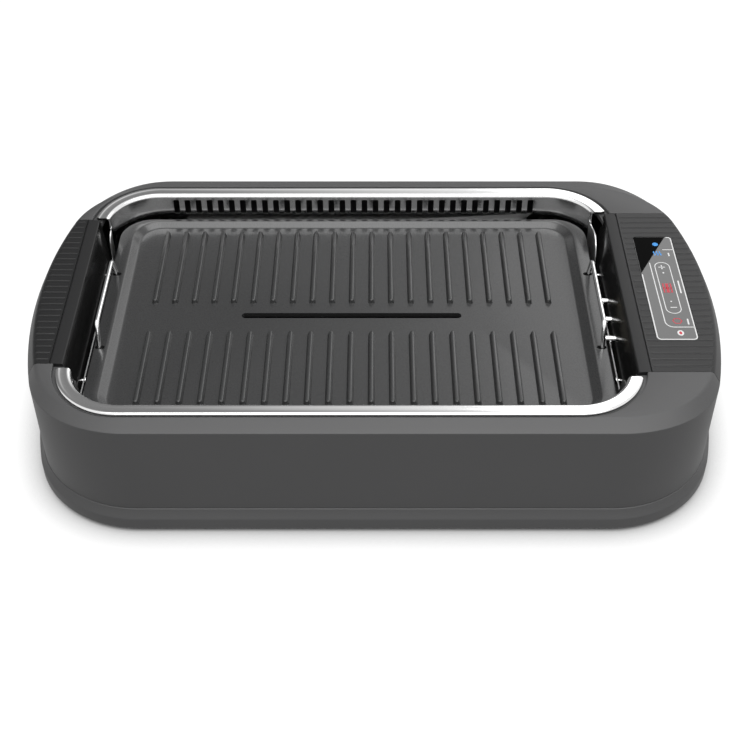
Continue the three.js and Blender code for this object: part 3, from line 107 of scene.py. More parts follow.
# Side blocks and the pod's pins
POD_WALL_X = 199.5
GRIP_WALL_X = -237.0
BLOCK_Y = 3.7
POD_HALF_Y = 102.0
GRIP_HALF_Y = 92.5
BLOCK_BOTTOM = 60.0
BLOCK_DRAFT = 5.5
BLOCK_SHELL = 2.5
STRIP = 9.5
CROSS_PITCH = 7.35
CROSS_HALF = 1.5
CROSS_DEPTH = 0.45
PIN_Y = 2.0
PIN_Z = 73.0
PIN_PITCH = 24.2
PIN_HOLE = 2.8
SCREW_Y = 67.5
SCREW_Z = 65.2
SCREW_HOLE = 1.8

# Touch panel
PANEL_X0, PANEL_X1 = 218.8, 251.4
PANEL_Y0, PANEL_Y1 = -61.7, 71.7

# Plate and handles
PLATE_HALF_X = 203.95
PLATE_HALF_Y = 126.0
PLATE_RADIUS = 27.0
FLANGE_TOP = 85.5
DRAIN_HALF_X = 90
DRAIN_Y = (-5.75, 0.75)
RIBS_EACH_WAY = 10
RIB_PITCH = 16.3
RIB_ROWS = ((12.0, 109.5), (-109.5, -25.0))
WIRE = 1.744
HANDLE_FOOT_Y = 47
HANDLE_KNEE_Y = 40
HANDLE_LEAN = 1
HANDLE_PIVOT_X = {-1: -218.1, 1: 180.6}
HANDLE_PIVOT_Z = 79.098


# Outlines: points with their outward normals
def arc(x, y, radius, start, end, steps):
    points = []
    for i in range(steps + 1):
        angle = start + (end - start) * i / steps
        nx, ny = math.cos(angle), math.sin(angle)
        points.append((x + radius * nx, y + radius * ny, nx, ny))
    return points


def turned_half(points):
    return [(-x, -y, -nx, -ny) for x, y, nx, ny in points]


# The body's plan: corner, side arc and corner on the right, and the same turned to the left
def body_outline(corner_steps=28, side_steps=18):
    corner_y = END_Y - CORNER_RADIUS
    side_x = END_X - SIDE_RADIUS
    corner_x = side_x + math.sqrt((SIDE_RADIUS - CORNER_RADIUS) ** 2 - corner_y**2)
    meet = math.atan2(corner_y, corner_x - side_x)
    quarter = math.pi / 2
    right = arc(corner_x, -corner_y, CORNER_RADIUS, -quarter, -meet, corner_steps)
    right += arc(side_x, 0, SIDE_RADIUS, -meet, meet, side_steps)[1:-1]
    right += arc(corner_x, corner_y, CORNER_RADIUS, meet, quarter, corner_steps)
    return right + turned_half(right)


def rectangle_outline(x, y, half_x, half_y, radius, steps):
    quarter = math.pi / 2
    half = arc(half_x - radius, radius - half_y, radius, -quarter, 0, steps)
    half += arc(half_x - radius, half_y - radius, radius, 0, quarter, steps)
    return [(x + a, y + b, nx, ny) for a, b, nx, ny in half + turned_half(half)]


def ring(outline, inset, z):
    return [(x - inset * nx, y - inset * ny, z) for x, y, nx, ny in outline]


# Meshes as (points, faces)
def loft(rings, closed=False):
    count = len(rings[0])
    points = [point for level in rings for point in level]
    faces = []
    levels = len(rings) if closed else len(rings) - 1
    for level in range(levels):
        lower = level * count
        upper = ((level + 1) % len(rings)) * count
        for i in range(count):
            after = (i + 1) % count
            faces.append((lower + i, lower + after, upper + after, upper + i))
    if not closed:
        last = (len(rings) - 1) * count
        faces.append(tuple(reversed(range(count))))
        faces.append(tuple(last + i for i in range(count)))
    return points, faces


def sweep(outline, profile):
    return loft([ring(outline, inset, z) for inset, z in profile], closed=True)


def box(x0, x1, y0, y1, z0, z1):
    x0, x1 = min(x0, x1), max(x0, x1)
    y0, y1 = min(y0, y1), max(y0, y1)
    points = [(x, y, z) for z in (z0, z1) for x, y in ((x0, y0), (x1, y0), (x1, y1), (x0, y1))]
    faces = [(3, 2, 1, 0), (4, 5, 6, 7), (0, 1, 5, 4), (1, 2, 6, 5), (2, 3, 7, 6), (3, 0, 4, 7)]
    return points, faces


def prism_z(shape, z0, z1):
    return loft([[(x, y, z0) for x, y in shape], [(x, y, z1) for x, y in shape]])


def prism_x(shape, x0, x1):
    return loft([[(x0, y, z) for y, z in shape], [(x1, y, z) for y, z in shape]])


def prism_y(shape, y0, y1):
    return loft([[(x, y0, z) for x, z in shape], [(x, y1, z) for x, z in shape]])


# A turned form along an axis, from a profile of (radius, distance along it)
def turned(profile, origin, axis, steps=32):
    rings = []
    for radius, along in profile:
        level = []
        for i in range(steps):
            angle = 2 * math.pi * i / steps
            a, b = max(radius, 0.001) * math.cos(angle), max(radius, 0.001) * math.sin(angle)
            offset = {"x": (along, a, b), "y": (a, along, b), "z": (a, b, along)}[axis]
            level.append(tuple(o + d for o, d in zip(origin, offset)))
        rings.append(level)
    return loft(rings)


# The round bend that replaces a corner
def bend(previous, corner, following, radius, steps):
    before = (previous - corner).normalized()
    after = (following - corner).normalized()
    half = before.angle(after) / 2
    reach = radius / math.tan(half)
    centre = corner + (before + after).normalized() * (radius / math.sin(half))
    start = corner + before * reach - centre
    end = corner + after * reach - centre
    turn = start.angle(end)
    points = []
    for step in range(steps + 1):
        share = step / steps
        a = math.sin((1 - share) * turn) / math.sin(turn)
        b = math.sin(share * turn) / math.sin(turn)
        points.append(centre + start * a + end * b)
    return points


# Corners of a flat shape rounded: each corner is (x, y) or (x, y, radius)
def rounded(corners, steps=5):
    flat = [Vector(corner[:2]) for corner in corners]
    points = []
    for i, corner in enumerate(corners):
        if len(corner) > 2:
            points += bend(flat[i - 1], flat[i], flat[(i + 1) % len(flat)], corner[2], steps)
        else:
            points.append(flat[i])
    return [tuple(point) for point in points]


def rounded_box(x0, x1, y0, y1, radius, steps=5):
    return rounded([(x0, y0, radius), (x1, y0, radius), (x1, y1, radius), (x0, y1, radius)], steps)


# A wire along points in space
def wire(points, radius, sides=16):
    path = [Vector(p) for p in points]
    side = None
    rings = []
    for i, here in enumerate(path):
        before = path[max(i - 1, 0)]
        after = path[min(i + 1, len(path) - 1)]
        tangent = (after - before).normalized()
        if side is None:
            start = Vector((0, 0, 1)) if abs(tangent.z) < 0.9 else Vector((1, 0, 0))
            side = tangent.cross(start).normalized()
        side = (side - tangent * side.dot(tangent)).normalized()
        up = tangent.cross(side)
        circle = []
        for k in range(sides):
            angle = 2 * math.pi * k / sides
            circle.append(tuple(here + (side * math.cos(angle) + up * math.sin(angle)) * radius))
        rings.append(circle)
    return loft(rings)


# Straight runs with round bends
def bent(corners, radius, steps=8):
    path = [Vector(corner) for corner in corners]
    points = [path[0]]
    for previous, corner, following in zip(path, path[1:], path[2:]):
        points += bend(previous, corner, following, radius, steps)
    return points + [path[-1]]


# A flat ribbon of a given width along points in the plan
def ribbon(points, width, z0, z1, closed=False):
    count = len(points)
    left, right = [], []
    for i in range(count):
        here = Vector(points[i])
        before = Vector(points[i - 1]) if closed or i > 0 else here
        after = Vector(points[(i + 1) % count]) if closed or i < count - 1 else here
        along = (after - before).normalized()
        across = Vector((-along.y, along.x)) * width / 2
        left.append(here + across)
        right.append(here - across)
    verts, faces = [], []
    for i in range(count):
        verts += [(*left[i], z0), (*right[i], z0), (*right[i], z1), (*left[i], z1)]
    for i in range(count if closed else count - 1):
        a, b = 4 * i, 4 * ((i + 1) % count)
        for k in range(4):
            faces.append((a + k, a + (k + 1) % 4, b + (k + 1) % 4, b + k))
    if not closed:
        faces.append((3, 2, 1, 0))
        last = 4 * (count - 1)
        faces.append((last, last + 1, last + 2, last + 3))
    return verts, faces


# An object from parts, each (points, faces) or (points, faces, material slot)
def make_object(name, parts):
    points, faces, slots = [], [], []
    for part in parts:
        part_points, part_faces = part[0], part[1]
        slot = part[2] if len(part) > 2 else 0
        start = len(points)
        points += [tuple(c * MM for c in point) for point in part_points]
        faces += [tuple(start + i for i in face) for face in part_faces]
        slots += [slot] * len(part_faces)
    mesh = bpy.data.meshes.new(name)
    mesh.from_pydata(points, [], faces)
    mesh.polygons.foreach_set("material_index", slots)
    model = bmesh.new()
    model.from_mesh(mesh)
    bmesh.ops.recalc_face_normals(model, faces=model.faces)
    model.to_mesh(mesh)
    model.free()
    obj = bpy.data.objects.new(name, mesh)
    bpy.context.scene.collection.objects.link(obj)
    return obj


def boolean(obj, parts, operation="DIFFERENCE"):
    tool = make_object(obj.name + "_tool", parts)
    modifier = obj.modifiers.new("boolean", "BOOLEAN")
    modifier.operation = operation
    modifier.object = tool
    modifier.solver = "MANIFOLD"
    depsgraph = bpy.context.evaluated_depsgraph_get()
    result = bpy.data.meshes.new_from_object(obj.evaluated_get(depsgraph))
    obj.modifiers.clear()
    obj.data = result
    bpy.data.objects.remove(tool)


def add_parts(obj, parts):
    extra = make_object(obj.name + "_extra", parts)
    model = bmesh.new()
    model.from_mesh(obj.data)
    model.from_mesh(extra.data)
    model.to_mesh(obj.data)
    model.free()
    bpy.data.objects.remove(extra)


# Materials kept in their face slots, smoothing by angle, and the piece's body and replaced CAD
# nodes
def finish_piece(obj, materials, body, replaces=(), angle=28):
    slots = [face.material_index for face in obj.data.polygons]
    obj.data.materials.clear()
    for material in materials:
        obj.data.materials.append(material)
    obj.data.polygons.foreach_set("material_index", slots)
    obj.data.shade_smooth()
    obj.data.set_sharp_from_angle(angle=math.radians(angle))
    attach(obj, body)
    if replaces:
        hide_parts(*replaces)


# Materials
# A broad noise varies the colour by the share vary, a fine one the roughness and the relief
def surface(name, color, roughness, metallic=0.0, vary=0.06, vary_scale=9.0, grain=0.0,
            grain_scale=2600.0, rough_vary=0.05, coat=0.0, speck=None, stretch=(1, 1, 1),
            specular=0.5):
    material = bpy.data.materials.new(name)
    material.use_nodes = True
    nodes, links = material.node_tree.nodes, material.node_tree.links
    shader = nodes["Principled BSDF"]
    shader.inputs["Metallic"].default_value = metallic
    shader.inputs["Specular IOR Level"].default_value = specular
    shader.inputs["Coat Weight"].default_value = coat
    shader.inputs["Coat Roughness"].default_value = 0.12
    place = nodes.new("ShaderNodeTexCoord")
    mapping = nodes.new("ShaderNodeMapping")
    mapping.inputs["Scale"].default_value = stretch
    links.new(place.outputs["Object"], mapping.inputs["Vector"])
    broad = nodes.new("ShaderNodeTexNoise")
    broad.inputs["Scale"].default_value = vary_scale
    broad.inputs["Detail"].default_value = 4.0
    links.new(mapping.outputs["Vector"], broad.inputs["Vector"])
    tone = nodes.new("ShaderNodeValToRGB")
    tone.color_ramp.elements[0].position = 0.3
    tone.color_ramp.elements[1].position = 0.7
    tone.color_ramp.elements[0].color = (*[c * (1 - vary) for c in color], 1)
    tone.color_ramp.elements[1].color = (*[c * (1 + vary) for c in color], 1)
    links.new(broad.outputs["Fac"], tone.inputs["Fac"])
    color_out = tone.outputs["Color"]
    fine = nodes.new("ShaderNodeTexNoise")
    fine.inputs["Scale"].default_value = grain_scale
    fine.inputs["Detail"].default_value = 3.0
    links.new(mapping.outputs["Vector"], fine.inputs["Vector"])
    if speck:
        speck_color, share = speck
        mask = nodes.new("ShaderNodeMapRange")
        mask.inputs["From Min"].default_value = share
        mask.inputs["From Max"].default_value = share + 0.04
        links.new(fine.outputs["Fac"], mask.inputs["Value"])
        mix = nodes.new("ShaderNodeMix")
        mix.data_type = "RGBA"
        mix.inputs["B"].default_value = (*speck_color, 1)
        links.new(mask.outputs["Result"], mix.inputs["Factor"])
        links.new(color_out, mix.inputs["A"])
        color_out = mix.outputs["Result"]
    links.new(color_out, shader.inputs["Base Color"])
    rough = nodes.new("ShaderNodeMapRange")
    rough.inputs["To Min"].default_value = max(roughness - rough_vary, 0.02)
    rough.inputs["To Max"].default_value = roughness + rough_vary
    links.new(fine.outputs["Fac"], rough.inputs["Value"])
    links.new(rough.outputs["Result"], shader.inputs["Roughness"])
    if grain:
        bump = nodes.new("ShaderNodeBump")
        bump.inputs["Strength"].default_value = grain
        bump.inputs["Distance"].default_value = 0.0001
        links.new(fine.outputs["Fac"], bump.inputs["Height"])
        links.new(bump.outputs["Normal"], shader.inputs["Normal"])
    return material


housing_black = surface("housing_satin", (0.091, 0.091, 0.092), 0.5, grain=0.25, vary=0.02)
# The base plastic is the housing's plastic made a little lighter: painted light for the ledge
base_painted_lighter = surface("base_satin_painted_lighter", (0.095, 0.095, 0.096), 0.5, grain=0.25, vary=0.02)
grip_black = surface("grip_satin", (0.016, 0.016, 0.0165), 0.4, grain=0.2, vary=0.03,
                     specular=0.33)
grip_wall = surface("grip_gloss_wall", (0.018, 0.018, 0.018), 0.18, vary=0.03, rough_vary=0.02)
panel_gloss = surface("panel_gloss", (0.115, 0.115, 0.115), 0.12, vary=0.01, rough_vary=0.01)
# Near black with almost no specular: the touch panel's painted reflection
panel_painted_reflection = surface("panel_painted_reflection", (0.0015, 0.0015, 0.0015), 0.1, vary=0.02, rough_vary=0.01,
                     specular=0.01)
print_white = surface("print_white", (0.9, 0.9, 0.9), 0.4, vary=0.02)
print_red = surface("print_red", (0.62, 0.035, 0.06), 0.4, vary=0.03)
print_blue = surface("print_blue", (0.02, 0.32, 0.85), 0.35, vary=0.03)
steel_bright = surface("steel_polished", (0.82, 0.82, 0.82), 0.14, metallic=1.0, vary=0.02,
                       rough_vary=0.03)
steel_satin = surface("steel_satin", (0.62, 0.62, 0.62), 0.4, metallic=1.0, vary=0.03,
                      stretch=(1, 1, 8), grain=0.08, grain_scale=500.0)
plate_coated = surface("plate_coating", (0.032, 0.0325, 0.033), 0.28, vary=0.05, grain=0.25,
                       grain_scale=1600.0, coat=0.35, speck=((0.08, 0.08, 0.08), 0.66))
chrome = surface("chrome", (0.88, 0.88, 0.88), 0.07, metallic=1.0, vary=0.01, rough_vary=0.02)
steel_plain = surface("steel_rolled", (0.52, 0.53, 0.54), 0.32, metallic=1.0, vary=0.06,
                      stretch=(1, 14, 1), grain=0.1, grain_scale=400.0)
# Near black for the inner tub
tub_dark = surface("tub_near_black", (0.02, 0.02, 0.021), 0.4, vary=0.1, vary_scale=30.0, grain=0.3)
element_steel = surface("element_sheath", (0.1, 0.095, 0.09), 0.5, metallic=0.8, vary=0.25,
                        vary_scale=40.0, grain=0.2)
brass = surface("brass", (0.55, 0.4, 0.16), 0.3, metallic=1.0, vary=0.08, vary_scale=60.0)
rubber = surface("rubber", (0.016, 0.016, 0.016), 0.8, grain=0.4, vary=0.1)
ceramic = surface("insulator", (0.62, 0.58, 0.48), 0.6, grain=0.2, vary=0.06, vary_scale=60.0)
inner_plastic = surface("inner_plastic", (0.02, 0.02, 0.022), 0.55, grain=0.3, vary=0.06)
board_green = surface("board", (0.02, 0.09, 0.04), 0.45, vary=0.15, vary_scale=160.0, grain=0.2)
lead_red = surface("lead_red", (0.25, 0.03, 0.02), 0.5, vary=0.08, vary_scale=60.0, grain=0.2)

# CAD pieces that keep their own solids and take only a material
for node, material in {
    "display_module": inner_plastic, "control_board": board_green, "power_board": board_green,
    "terminal_block": ceramic, "heater_lead_front": lead_red, "heater_lead_rear": lead_red,
    "power_inlet": inner_plastic, "inlet_lead": lead_red, "inner_tub": tub_dark,
    "fan_scroll": inner_plastic, "fan_cover": inner_plastic, "fan_motor": steel_plain,
    "fan_bearing": brass, "fan_shaft": steel_plain, "fan_impeller": inner_plastic,
    "exhaust_grille": base_painted_lighter, "water_tray": steel_plain, "heating_element": element_steel,
    "contact_fork_front": brass, "contact_fork_rear": brass, "fork_block": ceramic,
    "element_clamp_front_1": steel_plain, "element_clamp_rear_1": steel_plain,
    "element_clamp_front_2": steel_plain, "element_clamp_rear_2": steel_plain,
    "foot_front_left": rubber, "foot_rear_left": rubber,
    "foot_front_right": rubber, "foot_rear_right": rubber,
    "base_screw_front_left": steel_plain, "base_screw_rear_left": steel_plain,
    "base_screw_front_right": steel_plain, "base_screw_rear_right": steel_plain,
}.items():
    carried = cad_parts[node]
    if not carried.material_slots:
        carried.data.materials.append(material)
    for slot in carried.material_slots:
        slot.material = material


def smoothstep(value, low, high):
    share = min(max((value - low) / (high - low), 0.0), 1.0)
    return share * share * (3 - 2 * share)


# Section of the body's wall as (inset, z), from the direction of the wall: an upright wall up to
# a crease, then a bevel that is low and wide at the front and rear, high and narrow at the ends
def body_section(nx):
    edge = smoothstep(math.degrees(math.acos(min(abs(nx), 1.0))), 3.0, 82.0)
    crease = END_CREASE_Z + CREASE_RISE * edge
    width = END_BEVEL + BEVEL_GROWTH * edge
    corners = [(0, 30), (0, crease, 1.2 - 0.3 * edge), (width, DECK_Z, 5.0 - 3.0 * edge)]
    return rounded(corners + [(width + 3, DECK_Z)], 6)


# The body's form, set in by a wall
def body_form(wall, bottom, corner_steps=28, side_steps=18):
    outline = body_outline(corner_steps, side_steps)
    sections = [[(0, bottom + wall)] + body_section(nx) for _, _, nx, _ in outline]
    rings = []
    for level in zip(*sections):
        rings.append([(x - (inset + wall) * nx, y - (inset + wall) * ny, z - wall)
                      for (inset, z), (x, y, nx, ny) in zip(level, outline)])
    return loft(rings)


def rim_outline(grow, steps=28):
    return rectangle_outline(WELL_X, 0, RIM_HALF_X + grow, RIM_HALF_Y + grow, RIM_RADIUS + grow,
                             steps)


# Pod and grip: side of the body, X of the wall on the well side, half the length
BLOCKS = ((1, POD_WALL_X, POD_HALF_Y), (-1, GRIP_WALL_X, GRIP_HALF_Y))

# Upper housing
upper = make_object("upper_shell", [body_form(0, UPPER_BOTTOM)])
boolean(upper, [body_form(SHELL, 2.0, 14, 8)])
seat_top, seat_bottom = 102.6, 98.9
seat = [(-5.4, seat_bottom), (5.6, seat_bottom), (5.6, seat_top), (-2.4, seat_top),
        (-2.4, 103.3), (-5.4, 103.3)]
boolean(upper, [sweep(rim_outline(0), seat)], "UNION")
groove = [(0, seat_top), (0, 105.0), (0.05, 105.35), (0.2, 105.65), (0.45, 105.87),
          (0.85, 106.02), (0.86, ABOVE)]
boolean(upper, [loft([ring(rim_outline(DECK_GROOVE + grow), 0, z) for grow, z in groove])])
for side, _, half_y in BLOCKS:
    start = WELL_X + side * (RIM_HALF_X - 5.9)
    reach = half_y + 0.3
    boolean(upper, [box(start, side * 300, BLOCK_Y - reach, BLOCK_Y + reach,
                        BLOCK_BOTTOM - 0.4, ABOVE)])
boolean(upper, [box(*INLET_HOLE)])
finish_piece(upper, [housing_black], "housing", ["upper_housing"], 22)


# Lower housing
def base_form():
    outline = body_outline()
    skirt = [(1.5 - FLARE, 3.0), (0.5 - FLARE, 3.3), (-FLARE, 4.4), (-FLARE, 13.2),
             (0.35 - FLARE, 14.3), (1.0 - FLARE, 15.1)]
    ledge = [(-0.55, 21.6), (0.1, 22.1), (3.3, 22.2), (3.4, 27), (4.8, 27)]
    inside = [(5.0, 19), (4.6, 12), (SHELL - FLARE, 11), (SHELL - FLARE, 6)]
    return loft([ring(outline, inset, z) for inset, z in skirt + ledge + inside])


lower = make_object("lower_shell", [base_form()])
boolean(lower, [box(*GRILLE_HOLE)])
for sx in (-1, 1):
    for sy in (-1, 1):
        hole = [(BASE_SCREW_HOLE, -10), (BASE_SCREW_HOLE, 6.3)]
        boolean(lower, [turned(hole, (sx * BASE_SCREW_X, sy * BASE_SCREW_Y, 0), "z")])
finish_piece(lower, [base_painted_lighter], "housing", ["lower_housing"], 24)


# Liner: one sheet, swept round the well; its rolled rim ends in a quarter round
def liner_profile():
    top = [(0.0, 103.0), (0.0, 104.6), (0.12, 105.3), (0.45, 105.9), (1.0, 106.35), (1.7, 106.55),
           (2.6, 106.55), (3.4, 106.4), (4.2, 106.3), (7.6, 106.3)]
    turns = (math.radians(9 * k) for k in range(11))
    inset, z = RIM_ROUND_AT
    top += [(inset + RIM_ROUND * math.sin(a), z + RIM_ROUND * math.cos(a)) for a in turns]
    top.append((RIM_REACH, LINER_BOTTOM))
    under = []
    for i, (inset, z) in enumerate(top):
        before = Vector(top[max(i - 1, 0)])
        after = Vector(top[min(i + 1, len(top) - 1)])
        along = (after - before).normalized()
        under.append((inset + along.y * LINER_SHEET, z - along.x * LINER_SHEET))
    under[0] = (LINER_SHEET, 103.0)
    under[-1] = (RIM_REACH - LINER_SHEET, LINER_BOTTOM)
    return top + list(reversed(under))


# The curve between the rim and a low side wall, as shares of its length and height
OGEE = [(0, 0), (0.04, 0.16), (0.11, 0.29), (0.26, 0.455), (0.57, 0.58), (0.85, 0.63), (1, 0.67)]


# A smooth curve through the points
def smooth_curve(points, steps=6):
    curve = []
    ends = [points[0]] + list(points) + [points[-1]]
    for i in range(1, len(ends) - 2):
        p0, p1, p2, p3 = (Vector(p) for p in ends[i - 1:i + 3])
        for k in range(steps):
            t = k / steps
            bow = (2 * p0 - 5 * p1 + 4 * p2 - p3) * t * t
            twist = (3 * p1 - p0 - 3 * p2 + p3) * t * t * t
            curve.append(tuple(0.5 * ((2 * p1) + (p2 - p0) * t + bow + twist)))
    curve.append(tuple(points[-1]))
    return curve


# Cutters that round the two corners of a rim end in the plan
def rim_end_cutters(side, sy, y):
    depth = max(abs(y) - (RIM_HALF_Y - RIM_RADIUS), 0.0)
    reaches = [math.sqrt((RIM_RADIUS - inset) ** 2 - depth**2) for inset in (0, RIM_REACH)]
    outer, inner = (WELL_X + side * (RIM_HALF_X - RIM_RADIUS + reach) for reach in reaches)
    cutters = []
    for x, away, radius in ((outer, side, 4.5), (inner, -side, 2.0)):
        centre_x = x - away * radius
        turns = (math.pi / 2 * k / 8 for k in range(9))
        curve = [(centre_x + away * radius * math.sin(a), y + sy * radius * (1 - math.cos(a)))
                 for a in turns]
        past = x + away * 3
        corner = curve + [(past, y + sy * radius), (past, y - sy * 2), (centre_x, y - sy * 2)]
        cutters.append(prism_z(corner, 95, ABOVE))
    return cutters


def screw_holes(x, half_length):
    profile = [(SCREW_HOLE, -half_length), (SCREW_HOLE, half_length)]
    return [turned(profile, (x, BLOCK_Y + sy * SCREW_Y, SCREW_Z), "x", 16) for sy in (-1, 1)]


liner = make_object("well_liner", [sweep(rim_outline(0), liner_profile())])
ogee = smooth_curve(OGEE)
ogee_height = DECK_Z - LOW_WALL_TOP
for (side, _, half_y), length in zip(BLOCKS, (26.0, 9.0)):
    rear = BLOCK_Y + half_y + 1.9
    front = BLOCK_Y - half_y - 5.5
    up = [(rear - length * (1 - out), LOW_WALL_TOP + rise * ogee_height) for out, rise in ogee]
    down = [(front + length * (1 - out), LOW_WALL_TOP + rise * ogee_height)
            for out, rise in reversed(ogee)]
    shape = up + [(rear, ABOVE), (front, ABOVE)] + down
    start = WELL_X + side * (LINER_HALF_X - 40)
    boolean(liner, [prism_x(shape, start, WELL_X + side * (RIM_HALF_X + 20))])
    for sy, y in ((1, rear), (-1, front)):
        for cutter in rim_end_cutters(side, sy, y):
            boolean(liner, [cutter])
vents = []
for i in range(-VENTS_EACH_WAY, VENTS_EACH_WAY + 1):
    x = WELL_X + i * VENT_PITCH
    shape = rounded_box(x - VENT_HALF, x + VENT_HALF, *VENT_Z, 1.0, 3)
    vents.append(prism_y(shape, LINER_HALF_Y - 1.5, LINER_HALF_Y + 3))
boolean(liner, vents)
ledges = [box(WELL_X - 150, WELL_X + 150, sy * 119.5, sy * (LINER_HALF_Y + 0.5), 75.5, 76.6)
          for sy in (-1, 1)]
boolean(liner, ledges, "UNION")
boolean(liner, [hole for side, wall_x, _ in BLOCKS for hole in screw_holes(wall_x - side * 7.5, 3)])
finish_piece(liner, [steel_bright, steel_satin], "housing", ["grill_liner"], 30)
# Below the polished rim the sheet is satin
for face in liner.data.polygons:
    if max(liner.data.vertices[i].co.z for i in face.vertices) < 101.9 * MM:
        face.material_index = 1


# Side blocks: cut from the body's form, hollow, with a strip, a groove line and cross grooves
def side_block(name, side, wall_x, half_y):
    def across(points):
        return [(wall_x + side * x, z) for x, z in points]

    corners = [(-BLOCK_DRAFT, BLOCK_BOTTOM), (110, BLOCK_BOTTOM), (110, ABOVE), (STRIP, ABOVE),
               (STRIP, DECK_Z), (0, DECK_Z - 0.6, 1.0)]
    y0, y1 = BLOCK_Y - half_y, BLOCK_Y + half_y
    block = make_object(name, [prism_y(across(rounded(corners, 6)), y0, y1)])
    boolean(block, [body_form(0, UPPER_BOTTOM)], "INTERSECT")
    room = across([(BLOCK_SHELL - BLOCK_DRAFT * 1.4, 40), (110, 40), (110, ABOVE), (12, ABOVE),
                   (12, 103.5), (BLOCK_SHELL, 99.5)])
    tool = make_object("room", [prism_y(room, y0 + BLOCK_SHELL, y1 - BLOCK_SHELL)])
    boolean(tool, [body_form(BLOCK_SHELL, 40.0, 14, 8)], "INTERSECT")
    points = [tuple(c / MM for c in vertex.co) for vertex in tool.data.vertices]
    faces = [tuple(face.vertices) for face in tool.data.polygons]
    bpy.data.objects.remove(tool)
    boolean(block, [(points, faces)])
    line = wall_x + side * STRIP
    boolean(block, [box(line - 0.7, line + 0.7, y0 - 5, y1 + 5, 104.5, ABOVE)])
    x0, x1 = sorted((wall_x + side * 11.6, side * 290))
    count = int((y1 - y0 - CROSS_PITCH) / CROSS_PITCH)
    first = (y0 + y1) / 2 - count * CROSS_PITCH / 2
    grooves = []
    for i in range(count + 1):
        y = first + i * CROSS_PITCH
        shares = [-1 + 2 * k / 16 for k in range(17)]
        section = [(y + CROSS_HALF * share, DECK_Z - CROSS_DEPTH * (1 - share * share) + 0.02)
                   for share in shares]
        section += [(y + CROSS_HALF, 120), (y - CROSS_HALF, 120)]
        grooves.append(prism_x(section, x0, x1))
    boolean(block, grooves)
    return block


# The wall on the well side gets the second material
def mark_inner_wall(block, side, wall_x):
    for face in block.data.polygons:
        if side * (face.center.x / MM - wall_x) < 0.3 and face.normal.x * side < -0.9:
            face.material_index = 1


grip = side_block("grip_block", -1, GRIP_WALL_X, GRIP_HALF_Y)
boolean(grip, screw_holes(GRIP_WALL_X, 6))
finish_piece(grip, [grip_black, grip_wall], "housing", ["left_grip"], 24)
mark_inner_wall(grip, -1, GRIP_WALL_X)

pod = side_block("pod_block", 1, POD_WALL_X, POD_HALF_Y)
panel_hole = rounded_box(PANEL_X0 - 0.3, PANEL_X1 + 0.3, PANEL_Y0 - 0.3, PANEL_Y1 + 0.3, 4, 8)
boolean(pod, [prism_z(panel_hole, 104.6, ABOVE)])
pin_profile = [(PIN_HOLE, -6), (PIN_HOLE, 6)]
pin_holes = [turned(pin_profile, (POD_WALL_X, PIN_Y + i * PIN_PITCH, PIN_Z), "x", 24)
             for i in (-1, 0, 1)]
boolean(pod, screw_holes(POD_WALL_X, 6) + pin_holes)
finish_piece(pod, [grip_black, grip_wall], "housing", ["control_pod"], 24)
mark_inner_wall(pod, 1, POD_WALL_X)
